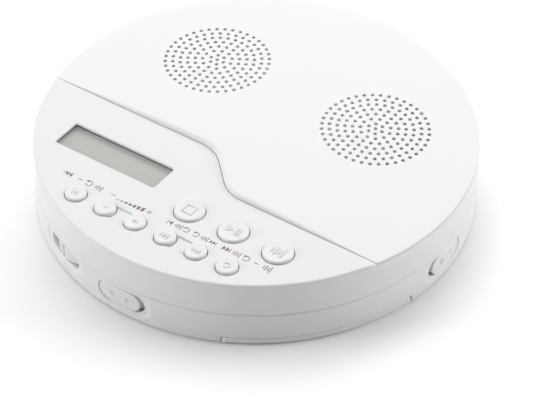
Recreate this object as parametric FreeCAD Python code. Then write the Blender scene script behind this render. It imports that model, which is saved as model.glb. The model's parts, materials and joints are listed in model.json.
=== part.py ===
import FreeCAD, Part
import math
import os

# Portable disc player: a round clamshell. The whole top half is the lid, hinged at the back (+Y) and
# opened by the slider at the front (-Y). Origin: centre of the footprint, on the table. +Z is up.
# All lengths are in millimetres, all angles in degrees. Side controls and sockets are drawn at the
# front and turned to their station; stations count from the front, positive towards +X.

V = FreeCAD.Vector
UP = V(0, 0, 1)
ORIGIN = V(0, 0, 0)

# ---- casing ------------------------------------------------------------------------------------------
BODY_R = 80.0            # outer radius of lid and base
CROWN = 1.75             # rise of the speaker panel's dome above the console
SEAM_DROP = 2.4          # the parting line lies this far below the deck's underside
SEAM_GAP = 0.4           # visible gap at the parting line
WALL = 2.2               # side walls
TOP_T = 2.0              # console plate
FLOOR_T = 1.8            # base floor
EDGE_R = 0.9             # rounding of the console rim and the bottom edge
SEAM_CHAMFER = 0.3       # broken edges either side of the parting line
FOOT_STAND = 0.5         # how far the feet hold the base off the table
SIDE_PLAY = 0.2          # side gap of flat pieces that drop into a frame or against a wall
CUT = 1.0                # cutters run this far past what they cut

# ---- speaker panel -----------------------------------------------------------------------------------
PANEL_RIM_T = 0.9        # panel thickness at its rim
PANEL_GAP = 0.2          # gap between the panel's front edge and the console
PANEL_LEDGE = 3.0        # width of the lid ledge that carries the panel
PANEL_RIM_STEP = 0.1     # the panel's rim lies this far inside the wall's face
PANEL_EDGE = 0.3         # broken edges of the panel's rim
SEAM_LEFT_BACK = 47.1    # panel front edge behind the front key row, left run
SEAM_RIGHT_BACK = 30.25  # the same, right run
BEND_X = 2.6             # middle of the S-bend between the two runs
BEND_R = 14.7            # radius of both arcs of the S-bend
BEND_TURN = 45.0         # slope of the bend's straight middle
SPEAKER_RIM_GAP = 37.33  # from the casing's rim to a speaker's middle
SPEAKER_BEARING = 35.12  # direction of the right speaker, from +X towards +Y
GRILLE_RINGS = 7         # rings of holes round the centre hole
GRILLE_PITCH = 2.76      # from ring to ring
GRILLE_SPACING = 3.04    # from hole to hole along a ring
GRILLE_HOLE_R = 0.68     # across corners

# ---- display -----------------------------------------------------------------------------------------
DISPLAY_X = -33.85
DISPLAY_BACK = 24.3      # middle of the display behind the front key row
DISPLAY_W = 44.0
DISPLAY_D = 12.4
DISPLAY_CORNER_R = 1.2
DISPLAY_RECESS = 0.9     # the lens lies this far below the console face
LENS_LAP = 1.5           # how far the lens reaches under the console all round
LENS_T = 1.0
MODULE_RIM = 1.2         # width of the display module's frame
GLASS_SEAT = 0.6         # depth of the frame round the display glass
GLASS_T = 0.4

# ---- keys --------------------------------------------------------------------------------------------
SMALL_KEY_R = 4.15
SMALL_KEY_X = -31.9      # first of the front row
SMALL_KEY_PITCH = 12.87
SMALL_KEY_EDGE = 16.4    # front row behind the foremost point of the casing
SMALL_KEYS = ["repeat", "slower", "faster", "previous", "next", "skip"]
LARGE_KEY_R = 5.75
LARGE_KEY_X = 5.75       # first of the back row
LARGE_KEY_PITCH = 18.45
LARGE_KEY_BACK = 15.4    # back row behind the front row
LARGE_KEYS = ["stop", "play", "mode"]
KEY_PROUD = 1.0          # keys stand this far above the console
KEY_GAP = 0.3            # between a key and its hole
KEY_FLANGE = 0.8         # flange that keeps a key in its hole
KEY_FLANGE_T = 0.6
KEY_CHAMFER = 0.4
KEY_TRAVEL = 0.6
KEY_PLAY = 0.05          # slack above the flange and below the stem
KEY_STEM_R = 1.5
KEY_ROOM = 2.3           # from the key board up to the console's underside
CHANNEL_W = 6.2          # shallow channel that joins a pair of keys
CHANNEL_DEPTH = 0.5
CHANNEL_PAIRS = [1, 3]   # first key of each joined pair, counted from 0

# ---- lid inside --------------------------------------------------------------------------------------
DISC_SPACE = 4.2         # clear height over the deck for the disc
LINER_T = 1.0
LID_GAP = 0.6            # side gap between the lid wall and what stands in it
BOARD_T = 0.8            # key board
BOARD_MARGIN = 2.0       # the key board reaches this far past keys and display
DOME_T = 0.3             # switch domes on the key board
DOME_R = 2.5
SPEAKER_R = 20.0
SPEAKER_FLANGE_T = 1.4
SPEAKER_FLANGE_W = 3.2
CONE_SEAT_W = 1.8        # step in the flange that carries the cone's rim
CONE_SEAT_T = 0.7
CONE_T = 0.4
CONE_LIFT = 1.1          # cone's lowest ring above the magnet
DUST_CAP_R = 5.0
DUST_CAP_RISE = 0.3
MAGNET_R = 8.0
MAGNET_T = 1.4
BASKET_T = 0.8
BASKET_BORE_R = 4.5
LID_SCREW_IN = 3.5       # lid screws stand this far inside the wall
LID_SCREW_ANGLES = [-20, 20, 60, 120, 160, 200]
BOSS_R = 3.0
SCREW_R = 1.0
SCREW_PLAY = 0.2         # round shank and head
SCREW_HEAD_R = 2.0
SCREW_HEAD_T = 1.0

# ---- hinge -------------------------------------------------------------------------------------------
HINGE_R = 3.0            # barrels
HINGE_PIN_R = 1.0
HINGE_FIT = 0.04         # running clearance of the pin
HINGE_HALF = 21.0        # barrels reach this far each side of the middle
LID_BARREL_HALF = 13.6
BARREL_GAP = 0.4
HINGE_RELIEF = 4.2       # both shells are cut back to this radius round the pin
HINGE_MARGIN = 1.0       # the relief runs this far past the barrels
HINGE_WEB_REACH = 1.2    # webs of the barrels run this many relief radii down or up
HINGE_WEB_SHARE = 0.8    # half thickness of the webs, as a share of the barrel's radius
HINGE_ROOM = 6.0         # the deck keeps this far from the pin

# ---- deck and base inside ----------------------------------------------------------------------------
DECK_T = 1.2
WELL_R = 61.5            # the disc lies in a well of this radius
WELL_DEPTH = 2.6
DECK_SKIRT = 3.0         # the deck's outer skirt reaches this far below its plate
DECK_BORE_R = 17.5
SLED_SLOT_HALF = 13.0
BASE_SCREW_GAP = 0.3     # between the well's wall and the posts
BASE_SCREW_ANGLES = [30, 140, 205, 283]
BOSS_FOOT = 0.5          # base bosses start this far up in the floor
BORE_ROOF = 1.0          # material over the end of a screw
POST_Z = 8.0             # base bosses and deck posts meet here
FOOT_R = 4.0
FOOT_SEAT = 0.4          # feet sink this far into the floor
FOOT_OUT = 0.5           # the feet's ring lies this far outside the well's
FOOT_ANGLES = [10, 100, 190, 262]

# ---- battery bay -------------------------------------------------------------------------------------
DOOR_ANGLE = 51.65       # station of the door
DOOR_SIDE = 4.85         # the door reaches this far past the bay's end walls
DOOR_LAP = 2.7           # and this far past its inner wall
DOOR_T = 1.2
DOOR_LIP = 2.6           # the door takes the wall's foot up to this far above its underside
DOOR_GAP = 0.2
DOOR_SEAT = 0.05         # play over the door plate
CELL_R = 7.1
CELL_L = 49.5
CELL_NUB_R = 2.7
CELL_NUB_L = 1.0
CELL_GAP = 0.2
CELL_CORNER_GAP = 1.76   # from the outer cell's corners to the wall
BAY_WALL = 1.2
BAY_RIM_GAP = 2.2        # the bay's walls end this far inside the casing's wall
CONTACT_T = 0.4
CONTACT_ROOM = 3.2       # free length beyond the cells for their contacts
CONTACT_HALF = 4.0       # flat contacts
LEAF_HALF = 3.0          # bowed contacts
LEAF_T = 0.5
DECK_LIFT = 0.3          # deck above the cells

# ---- side controls -----------------------------------------------------------------------------------
SLOT_L = 20.0            # stadium slots in the base wall
SLOT_H = 8.0
SLOT_Z = 8.0
SLOT_SHIFT = 1.2         # a slot's middle stands off its station by this much
SLOT_DEPTH = 3.0         # cutters for the wall reach this far inside its inner face
SLIDER_TRAVEL = 1.6
SLIDER_GAP = 0.15
SLIDER_SINK = 0.35       # slider faces lie this far inside the wall's face
SLIDER_FLANGE = 1.2
SLIDER_FLANGE_T = 1.6
SLIDER_FLANGE_GAP = 0.6
DISH_L = 23.4
DISH_H = 8.9
DISH_DEPTH = 0.45
DISH_SHIFT = 0.2         # a dish's middle stands off its station by this much
HOLD_ANGLE = 90.0
HOLD_SWITCH_IN = 6.8     # outer face of the hold switch, inside the wall
HOLD_SWITCH = (10.0, 5.0, 5.5)
HOLD_SHELF_Z = 5.0       # the hold switch sits on a shelf of the base
SHELF_MARGIN = 1.0
LUG_HALF = 2.0           # lug between the hold slider and its switch
LUG_T = 2.0
LUG_GAP = 0.4
WHEEL_ANGLE = -22.75
WHEEL_R = 12.0
WHEEL_T = 5.2
WHEEL_Z = 9.4
WHEEL_SINK = 0.35
WHEEL_FLUTES = 34
FLUTE_DEPTH = 0.6
FLUTE_SHARES = [(0.0, 0.0), (0.45, 0.0), (0.72, 1.0)]
WHEEL_WINDOW_H = 6.2
WHEEL_SHAFT_R = 1.5
WHEEL_FIT = 0.05
POT_R = 6.0
POT_GAP = 0.3            # between the pot's body and the wheel
HOOK_HALF = 3.0          # lid hook, behind the front slider
HOOK_T = 1.6
HOOK_IN = 3.6            # the hook hangs this far inside the base wall
HOOK_TIP_Z = 10.0
HOOK_BARB = 1.2
HOOK_FOOT_T = 1.0
HOOK_FOOT_D = 3.0        # the foot reaches this far back past the blade
HOOK_ROOM = 2.5          # opening in the deck, each side of the hook's blade
CATCH_GAP = 0.3          # between the barb and the slider's catch
CATCH_W = 1.4
CATCH_T = 1.2
LID_SWITCH = (5.0, 3.5, 7.2)
LID_SWITCH_X = -12.5
LID_SWITCH_IN = 3.8      # outer face of the lid switch, inside the wall
LEVER_L = 3.1            # its lever reaches this far towards the hook
LEVER_W = 1.0
LEVER_T = 0.6
LEVER_DROP = 0.3         # below the switch's top

# ---- sockets -----------------------------------------------------------------------------------------
JACK_ANGLE = -90.0
JACK_BORE_R = 1.8
JACK_L = 14.0
JACK_W = 8.0
JACK_H = 6.0
JACK_BACK_T = 1.0
JACK_PLAY = 0.3          # between the jack's body and the wall
JACK_HOLE_R = 3.2        # hole in the casing in front of the jack
POWER_ANGLE = -118.0
POWER_W = 7.6
POWER_H = 2.8
POWER_L = 9.0
POWER_WALL = 0.4
POWER_SINK = 1.2
TONGUE_W = 5.2
TONGUE_T = 0.6

# ---- boards ------------------------------------------------------------------------------------------
MAIN_BOARD_T = 1.2
STANDOFF = 1.1
STANDOFF_R = 2.0
MAIN_BOARD_GAP = 3.8     # between the main board and the wall
MAIN_BOARD_RIGHT = -8.0
MAIN_BOARD_BACK = 50.0
BOARD_HOLE_GAP = 0.4
STANDOFFS = [(-40.0, 20.0), (-12.0, 30.0), (-45.0, -40.0), (-14.0, -40.0)]
CHIP_T = 1.0
CHIPS = [(-50, -10, 9, 9), (-34, 5, 7, 7), (-48, -30, 5, 8), (-34, 30, 10, 4), (-16, -30, 4, 9)]

# ---- disc drive --------------------------------------------------------------------------------------
CHASSIS_T = 4.0
CHASSIS_Z = 9.4          # underside of the drive chassis
FRAME_LEFT = -23.0
FRAME_FRONT = -18.0
FRAME_WALL = 2.2         # chassis behind its window
SCREW_SIDE = 7.8         # chassis to the right of the lead screw
SHELF_WALL = 2.0         # chassis round the sled motor
MOTOR_R = 10.0
MOTOR_L = 7.8
MOTOR_FLANGE = 2.0
MOTOR_FLANGE_T = 0.8
MOTOR_FLOOR = 1.0
SHAFT_END_GAP = 0.5
PLATTER_R = 15.5
PLATTER_T = 1.5
NECK_R = 3.5
NECK_GAP = 0.3
DISC_LIFT = 1.0          # the disc lies this far above the deck
HUB_R = 7.4
HUB_H = 2.4
HUB_CHAMFER = 0.6
HUB_ROOM = 2.0           # recess in the liner round the hub
HUB_ROOM_DEPTH = 0.4
PAWL_ANGLES = [0, 120, 240]
PAWL_L = 2.0
PAWL_PROUD = 0.3
PAWL_HALF = 0.9
PAWL_LIFT = 0.5
PAWL_T = 1.0
SPINDLE_R = 1.0
SPINDLE_FIT = 0.05
SPINDLE_CAP = 0.5        # hub over the shaft's end
ROD_R = 1.2
ROD_X = 14.0
ROD_FIT = 0.05
ROD_GRIP = 1.8           # how far the rods run into the chassis
SCREW_SHAFT_R = 1.5
SCREW_X = 19.2
SCREW_FIT = 0.04
GEAR_MODULE = 0.4
SCREW_GEAR_TEETH = 20
PINION_TEETH = 10
TOOTH_TIP = 0.11         # half widths of a tooth, as shares of the tooth pitch
TOOTH_ROOT = 0.27
TOOTH_DEPTH = 1.25       # from the pitch circle down to the root, in modules
GEAR_WIDTH = 2.4
GEAR_Y = 7.6
GEAR_GAP = 1.0           # free room each side of the gears
SCREW_END = 0.6          # the lead screw runs this far in front of its gear
PINION_SHAFT_R = 0.5
PINION_SHAFT_L = 5.0
SLED_MOTOR_R = 4.6
SLED_MOTOR_L = 16.0
LENS_REST_Y = 24.5
SLED_TRAVEL = 32.0
SLED_END_GAP = 0.8       # left at both ends of the travel
SLED_FRONT = 8.0         # sled in front of and behind the lens
SLED_BACK = 6.2
SLED_HALF = 11.0
SLED_TOP = 3.0           # sled above and below the rods' middle
SLED_LOW = 2.8
SLED_WEB_HALF = 12.0
SLED_WEB_T = 2.4
BUSH_T = 1.4
WINDOW_SIDE = 3.5        # chassis window beyond the rods
PICKUP_LENS_R = 2.2
LENS_GAP = 0.4
PICKUP_LENS_T = 1.8
ACTUATOR_W = 9.0
ACTUATOR_T = 2.2
ACTUATOR_CORNER_R = 1.2
LENS_LIFT = 0.8          # lens above the sled
ARM_X = 8.0              # feed arm starts here on the sled
ARM_T = 1.2
NUT_HALF = 3.0           # along the screw
NUT_IN = 2.0             # nut to the left and right of the screw's middle
NUT_OUT = 2.6
NUT_FIT = 0.1
NUT_ROOM = 0.7           # chassis window beyond the nut
DAMPER_R = 3.6
DAMPER_NECK_R = 2.2
DAMPER_LIP = 0.8
DAMPER_OUT = 3.5         # dampers stand this far outside the chassis
DAMPER_EAR = 0.6
DAMPER_POST_R = 2.5
DAMPER_FRONT_Y = -10.0
DAMPER_SIDE_Y = 3.0
DAMPER_BACK = 9.5        # back dampers in front of the window's end

# ---- places and levels that follow from the sizes above ----------------------------------------------
INNER_R = BODY_R - WALL
FLOOR_Z = FOOT_STAND + FLOOR_T
DOOR_LIP_Z = FOOT_STAND + DOOR_LIP
CELL_Z = FOOT_STAND + DOOR_T + CELL_GAP + CELL_R
DECK_UNDER_Z = CELL_Z + CELL_R + DECK_LIFT
DECK_Z = DECK_UNDER_Z + DECK_T
RING_Z = DECK_Z + WELL_DEPTH
SEAM_Z = DECK_UNDER_Z - SEAM_DROP
LID_Z = SEAM_Z + SEAM_GAP / 2
BASE_TOP_Z = SEAM_Z - SEAM_GAP / 2
LINER_Z = DECK_Z + DISC_SPACE
LINER_TOP_Z = LINER_Z + LINER_T
BOARD_TOP_Z = LINER_TOP_Z + BOARD_T
PLATE_Z = BOARD_TOP_Z + KEY_ROOM
RIM_Z = PLATE_Z + TOP_T
PANEL_Z = RIM_Z - PANEL_RIM_T
LENS_TOP_Z = RIM_Z - DISPLAY_RECESS
LENS_UNDER_Z = LENS_TOP_Z - LENS_T
SMALL_KEY_Y = SMALL_KEY_EDGE - BODY_R
LARGE_KEY_Y = SMALL_KEY_Y + LARGE_KEY_BACK
DISPLAY_Y = SMALL_KEY_Y + DISPLAY_BACK
SEAM_LEFT_Y = SMALL_KEY_Y + SEAM_LEFT_BACK
SEAM_RIGHT_Y = SMALL_KEY_Y + SEAM_RIGHT_BACK
SPEAKER_X = (BODY_R - SPEAKER_RIM_GAP) * math.cos(math.radians(SPEAKER_BEARING))
SPEAKER_Y = (BODY_R - SPEAKER_RIM_GAP) * math.sin(math.radians(SPEAKER_BEARING))
LID_SCREW_R = INNER_R - LID_SCREW_IN
HINGE_Y = BODY_R - HINGE_R
BASE_SCREW_R = WELL_R + DECK_T + BASE_SCREW_GAP + BOSS_R
FOOT_RING_R = WELL_R + FOOT_OUT
HOOK_Y = HOOK_IN - INNER_R
HOLD_SWITCH_R = INNER_R - HOLD_SWITCH_IN
MAIN_BOARD_R = INNER_R - MAIN_BOARD_GAP
MAIN_BOARD_Z = FLOOR_Z + STANDOFF
MAIN_BOARD_TOP_Z = MAIN_BOARD_Z + MAIN_BOARD_T
OUTER_CELL_D = math.sqrt((INNER_R - CELL_CORNER_GAP) ** 2 - (CELL_L / 2) ** 2) - CELL_R
INNER_CELL_D = OUTER_CELL_D - 2 * CELL_R - 2 * CELL_GAP
BAY_HALF = CELL_L / 2 + CONTACT_ROOM
DOOR_HALF = BAY_HALF + BAY_WALL + DOOR_SIDE
DOOR_INNER = INNER_CELL_D - CELL_R - CELL_GAP - BAY_WALL - DOOR_LAP
CHASSIS_TOP_Z = CHASSIS_Z + CHASSIS_T
ROD_Z = CHASSIS_Z + CHASSIS_T / 2
PINION_X = SCREW_X + GEAR_MODULE * (SCREW_GEAR_TEETH + PINION_TEETH) / 2
SLED_MOTOR_END = GEAR_Y - GEAR_GAP
WINDOW_NEAR = LENS_REST_Y - SLED_FRONT - SLED_END_GAP
WINDOW_FAR = LENS_REST_Y + SLED_TRAVEL + SLED_BACK + SLED_END_GAP
FRAME_RIGHT = SCREW_X + SCREW_SIDE
SHELF_RIGHT = PINION_X + SLED_MOTOR_R + SHELF_WALL
DISC_Z = DECK_Z + DISC_LIFT
HUB_TOP_Z = DISC_Z + HUB_H
DAMPERS = [
    (FRAME_LEFT - DAMPER_OUT, DAMPER_FRONT_Y),
    (FRAME_LEFT - DAMPER_OUT, WINDOW_FAR - DAMPER_BACK),
    (FRAME_RIGHT + DAMPER_OUT, WINDOW_FAR - DAMPER_BACK),
    (SHELF_RIGHT + DAMPER_OUT - DAMPER_EAR, DAMPER_SIDE_Y),
]


# ---- small building blocks ---------------------------------------------------------------------------
def block(x0, x1, y0, y1, z0, z1):
    return Part.makeBox(x1 - x0, y1 - y0, z1 - z0, V(x0, y0, z0))


def post(r, z0, z1, x=0.0, y=0.0):
    return Part.makeCylinder(r, z1 - z0, V(x, y, z0))


def rod_x(r, x0, x1, y, z):
    return Part.makeCylinder(r, x1 - x0, V(x0, y, z), V(1, 0, 0))


def rod_y(r, y0, y1, x, z):
    return Part.makeCylinder(r, y1 - y0, V(x, y0, z), V(0, 1, 0))


def polygon_face(points):
    return Part.Face(Part.makePolygon([V(*p) for p in points] + [V(*points[0])]))


def revolved(profile):
    """Turns a closed outline of (radius, height) points round the player's axis."""
    face = polygon_face([(r, 0, z) for r, z in profile])
    return face.revolve(ORIGIN, UP, 360)


def joined(shapes):
    return shapes[0].multiFuse(shapes[1:]).removeSplitter()


def less(shape, tools):
    return shape.cut(Part.makeCompound(tools))


def turned(shape, angle):
    copy = shape.copy()
    copy.rotate(ORIGIN, UP, angle)
    return copy


def mirrored_x(shape):
    return shape.mirror(ORIGIN, V(1, 0, 0))


def on_circle(radius, angle):
    return radius * math.cos(math.radians(angle)), radius * math.sin(math.radians(angle))


def ring_places(radius, angles):
    return [on_circle(radius, a) for a in angles]


def stadium(length, height, x, z, y0, y1):
    """A bar along Y whose section in XZ is a rectangle with round ends."""
    r = height / 2
    half = length / 2 - r
    parts = [
        rod_y(r, y0, y1, x - half, z),
        rod_y(r, y0, y1, x + half, z),
        block(x - half, x + half, y0, y1, z - r, z + r),
    ]
    return joined(parts)


def rounded_plate(w, d, r, x, y, z0, z1):
    plate = block(x - w / 2, x + w / 2, y - d / 2, y + d / 2, z0, z1)
    upright = [e for e in plate.Edges if abs(e.BoundBox.ZLength - (z1 - z0)) < 0.01]
    return plate.makeFillet(r, upright)


def wall_ring(outer, inner, z0, z1):
    return post(outer, z0, z1).cut(post(inner, z0, z1))


def level_circles(shape, z):
    """The round edges of a shape that lie at one height."""
    return [e for e in shape.Edges if abs(e.BoundBox.ZMin - z) < 0.01 and abs(e.BoundBox.ZMax - z) < 0.01]


def spread(shape, places):
    """One copy of a shape at each (x, y), as a group of separate solids."""
    copies = []
    for x, y in places:
        copy = shape.copy()
        copy.translate(V(x, y, 0))
        copies.append(copy)
    return Part.makeCompound(copies)


# ---- the S-shaped front edge of the speaker panel ----------------------------------------------------
def panel_region(inset, z0, z1):
    """Everything behind the panel's front edge, moved inwards by inset, between two heights."""
    turn = math.radians(BEND_TURN)
    drop = SEAM_LEFT_Y - SEAM_RIGHT_Y
    straight = (drop - 2 * BEND_R * (1 - math.cos(turn))) / math.sin(turn)
    half_run = BEND_R * math.sin(turn) + straight * math.cos(turn) / 2
    left = V(BEND_X - half_run, SEAM_LEFT_Y - BEND_R, z0)
    right = V(BEND_X + half_run, SEAM_RIGHT_Y + BEND_R, z0)

    def at(centre, radius, angle):
        return centre + V(radius * math.sin(angle), radius * math.cos(angle), 0)

    r1 = BEND_R + inset
    r2 = BEND_R - inset
    arc1 = Part.Arc(at(left, r1, 0), at(left, r1, turn / 2), at(left, r1, turn))
    arc2 = Part.Arc(at(right, -r2, turn), at(right, -r2, turn / 2), at(right, -r2, 0))
    far = 2 * BODY_R
    corners = [
        at(right, -r2, 0),
        V(far, SEAM_RIGHT_Y + inset, z0),
        V(far, far, z0),
        V(-far, far, z0),
        V(-far, SEAM_LEFT_Y + inset, z0),
        at(left, r1, 0),
    ]
    edges = [arc1.toShape(), Part.makeLine(at(left, r1, turn), at(right, -r2, turn)), arc2.toShape()]
    for a, b in zip(corners, corners[1:]):
        edges.append(Part.makeLine(a, b))
    return Part.Face(Part.Wire(Part.__sortEdges__(edges))).extrude(V(0, 0, z1 - z0))


def hole_prism(x, y, z0, z1):
    """Six-sided punch for one grille hole."""
    points = ring_places(GRILLE_HOLE_R, range(0, 360, 60))
    return polygon_face([(x + px, y + py, z0) for px, py in points]).extrude(V(0, 0, z1 - z0))


def grille_holes(cx, cy):
    """Rings of holes: each ring starts at the front, the first one half a step round."""
    places = [(cx, cy)]
    for ring in range(1, GRILLE_RINGS + 1):
        radius = ring * GRILLE_PITCH
        count = round(2 * math.pi * radius / GRILLE_SPACING)
        start = -90 + (180 / count if ring == 1 else 0)
        for i in range(count):
            dx, dy = on_circle(radius, start + 360 * i / count)
            places.append((cx + dx, cy + dy))
    return [hole_prism(x, y, PANEL_Z - CUT, RIM_Z + CROWN + CUT) for x, y in places]


def crown_ball(rim_r, rim_z, rise):
    """Ball whose top cap rises by a given amount over a rim circle; its poles lie far out to the sides."""
    radius = (rim_r**2 + rise**2) / (2 * rise)
    ball = Part.makeSphere(radius)
    ball.rotate(ORIGIN, V(0, 1, 0), 90)
    ball.translate(V(0, 0, rim_z + rise - radius))
    return ball


def panel_blank():
    """Flat underneath, a shallow dome on top, with a broken edge above and below its rim."""
    rim = BODY_R - PANEL_RIM_STEP
    edge = PANEL_EDGE
    above = CROWN + CUT
    outline = [(0, PANEL_Z), (rim - edge, PANEL_Z), (rim, PANEL_Z + edge), (rim, RIM_Z - edge)]
    outline += [(rim - edge - above, RIM_Z + above), (0, RIM_Z + above)]
    return revolved(outline).common(crown_ball(rim - edge, RIM_Z, CROWN))


def key_places():
    """Name, radius and centre of every key."""
    places = []
    for i, name in enumerate(SMALL_KEYS):
        places.append((name, SMALL_KEY_R, SMALL_KEY_X + i * SMALL_KEY_PITCH, SMALL_KEY_Y))
    for i, name in enumerate(LARGE_KEYS):
        places.append((name, LARGE_KEY_R, LARGE_KEY_X + i * LARGE_KEY_PITCH, LARGE_KEY_Y))
    return places


def lid_screw_places():
    return ring_places(LID_SCREW_R, LID_SCREW_ANGLES)


def base_screw_places():
    return ring_places(BASE_SCREW_R, BASE_SCREW_ANGLES)


def hinge_barrel(x0, x1, up):
    """A barrel round the pin, with the web that ties it to the shell above or below it."""
    reach = HINGE_WEB_REACH * HINGE_RELIEF
    web_half = HINGE_WEB_SHARE * HINGE_R
    z0, z1 = (SEAM_Z, SEAM_Z + reach) if up else (SEAM_Z - reach, SEAM_Z)
    web = block(x0, x1, HINGE_Y - web_half, HINGE_Y + web_half, z0, z1)
    return rod_x(HINGE_R, x0, x1, HINGE_Y, SEAM_Z).fuse(web)


def hinge_rod(r):
    half = HINGE_HALF + HINGE_MARGIN
    return rod_x(r, -half, half, HINGE_Y, SEAM_Z)


# ---- lid ---------------------------------------------------------------------------------------------
def key_channels():
    """Shallow channels that join the holes of two keys."""
    channels = []
    half = CHANNEL_W / 2
    for first in CHANNEL_PAIRS:
        x = SMALL_KEY_X + first * SMALL_KEY_PITCH
        channel = block(x, x + SMALL_KEY_PITCH, -half, half, RIM_Z - CHANNEL_DEPTH, RIM_Z + CUT)
        channel.translate(V(0, SMALL_KEY_Y, 0))
        channels.append(channel)
    return channels


def upper_shell():
    body = post(BODY_R, LID_Z, RIM_Z)
    body = body.makeFillet(EDGE_R, level_circles(body, RIM_Z))
    body = body.makeChamfer(SEAM_CHAMFER, level_circles(body, LID_Z))
    under = PLATE_Z - CUT
    above = RIM_Z + CUT
    lens_seat = 2 * LENS_LAP + SIDE_PLAY
    cuts = [
        post(INNER_R, LID_Z - CUT, PLATE_Z),
        panel_region(-PANEL_GAP, PANEL_Z, above),
        panel_region(PANEL_LEDGE, under, RIM_Z).common(post(INNER_R - PANEL_LEDGE, under, RIM_Z)),
        rounded_plate(DISPLAY_W, DISPLAY_D, DISPLAY_CORNER_R, DISPLAY_X, DISPLAY_Y, PLATE_Z, above),
        display_block(DISPLAY_W + lens_seat, DISPLAY_D + lens_seat, under, LENS_TOP_Z),
        hinge_rod(HINGE_RELIEF),
    ]
    cuts += [post(r + KEY_GAP, under, above, x, y) for _, r, x, y in key_places()]
    shell = less(body, cuts + key_channels())
    bosses = [post(BOSS_R, LINER_TOP_Z, PANEL_Z, x, y) for x, y in lid_screw_places()]
    barrel = hinge_barrel(-LID_BARREL_HALF, LID_BARREL_HALF, True)
    shell = joined([shell, barrel] + bosses)
    holes = [post(SCREW_R, LINER_TOP_Z, PLATE_Z, x, y) for x, y in lid_screw_places()]
    return less(shell, holes + [hinge_rod(HINGE_PIN_R + HINGE_FIT)])


def display_block(w, d, z0, z1):
    return block(DISPLAY_X - w / 2, DISPLAY_X + w / 2, DISPLAY_Y - d / 2, DISPLAY_Y + d / 2, z0, z1)


def speaker_panel():
    panel = panel_blank().common(panel_region(0, PANEL_Z - CUT, RIM_Z + CROWN + CUT))
    holes = grille_holes(-SPEAKER_X, SPEAKER_Y) + grille_holes(SPEAKER_X, SPEAKER_Y)
    return less(panel, holes)


def speaker_magnet():
    return post(MAGNET_R, LINER_TOP_Z, LINER_TOP_Z + MAGNET_T, SPEAKER_X, SPEAKER_Y)


def speaker_frame():
    """Dished basket between magnet and panel, with a step inside its flange that seats the cone."""
    low = LINER_TOP_Z + MAGNET_T
    top = PANEL_Z
    inner = SPEAKER_R - SPEAKER_FLANGE_W
    seat = inner + CONE_SEAT_W
    neck = MAGNET_R + BASKET_T
    under = top - SPEAKER_FLANGE_T
    profile = [(BASKET_BORE_R, low), (neck, low), (inner + BASKET_T, under), (SPEAKER_R, under)]
    profile += [(SPEAKER_R, top), (seat, top), (seat, top - CONE_SEAT_T), (inner, top - CONE_SEAT_T)]
    profile += [(neck, low + BASKET_T), (BASKET_BORE_R, low + BASKET_T)]
    basket = revolved(profile)
    basket.translate(V(SPEAKER_X, SPEAKER_Y, 0))
    return basket


def speaker_cone():
    """Thin cone with a raised dust cap, resting by its rim on the basket's step."""
    low = LINER_TOP_Z + MAGNET_T + CONE_LIFT
    rim_z = PANEL_Z - CONE_SEAT_T
    inner = SPEAKER_R - SPEAKER_FLANGE_W
    seat = inner + CONE_SEAT_W
    lower = [(0, low + DUST_CAP_RISE), (DUST_CAP_R, low), (inner, rim_z), (seat, rim_z)]
    upper = [(r, z + CONE_T) for r, z in reversed(lower)]
    cone = revolved(lower + upper)
    cone.translate(V(SPEAKER_X, SPEAKER_Y, 0))
    return cone


def display_lens():
    w = DISPLAY_W + 2 * LENS_LAP
    d = DISPLAY_D + 2 * LENS_LAP
    return rounded_plate(w, d, DISPLAY_CORNER_R, DISPLAY_X, DISPLAY_Y, LENS_UNDER_Z, LENS_TOP_Z)


def display_module():
    rim = 2 * MODULE_RIM
    frame = display_block(DISPLAY_W + rim, DISPLAY_D + rim, BOARD_TOP_Z, LENS_UNDER_Z)
    return frame.cut(display_block(DISPLAY_W, DISPLAY_D, LENS_UNDER_Z - GLASS_SEAT, LENS_UNDER_Z))


def display_glass():
    low = LENS_UNDER_Z - GLASS_SEAT
    return display_block(DISPLAY_W, DISPLAY_D, low, low + GLASS_T)


def key_board():
    """Board behind keys and display, rounded off along the wall and cut out round the bosses."""
    left = DISPLAY_X - DISPLAY_W / 2 - LENS_LAP - BOARD_MARGIN
    right = LARGE_KEY_X + (len(LARGE_KEYS) - 1) * LARGE_KEY_PITCH + LARGE_KEY_R + BOARD_MARGIN
    front = SMALL_KEY_Y - SMALL_KEY_R - BOARD_MARGIN
    back = DISPLAY_Y + DISPLAY_D / 2 + BOARD_MARGIN
    board = block(left, right, front, back, LINER_TOP_Z, BOARD_TOP_Z)
    board = board.common(post(INNER_R - BOARD_MARGIN, LINER_TOP_Z, BOARD_TOP_Z))
    rooms = [post(BOSS_R + BOARD_HOLE_GAP, LINER_Z, RIM_Z, x, y) for x, y in lid_screw_places()]
    return less(board, rooms)


def switch_domes():
    dome = Part.makeCone(DOME_R, DOME_R / 2, DOME_T, V(0, 0, BOARD_TOP_Z))
    return spread(dome, [(x, y) for _, _, x, y in key_places()])


def key(r, x, y):
    """Round cap with a broken top edge, a flange under the console and a stem over its switch dome."""
    top = RIM_Z + KEY_PROUD
    flange_top = PLATE_Z - KEY_PLAY
    flange_low = flange_top - KEY_FLANGE_T
    stem_low = BOARD_TOP_Z + DOME_T + KEY_TRAVEL + KEY_PLAY
    cap = post(r, flange_top, top, x, y)
    cap = cap.makeChamfer(KEY_CHAMFER, level_circles(cap, top))
    flange = post(r + KEY_FLANGE, flange_low, flange_top, x, y)
    return joined([cap, flange, post(KEY_STEM_R, stem_low, flange_low, x, y)])


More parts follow.
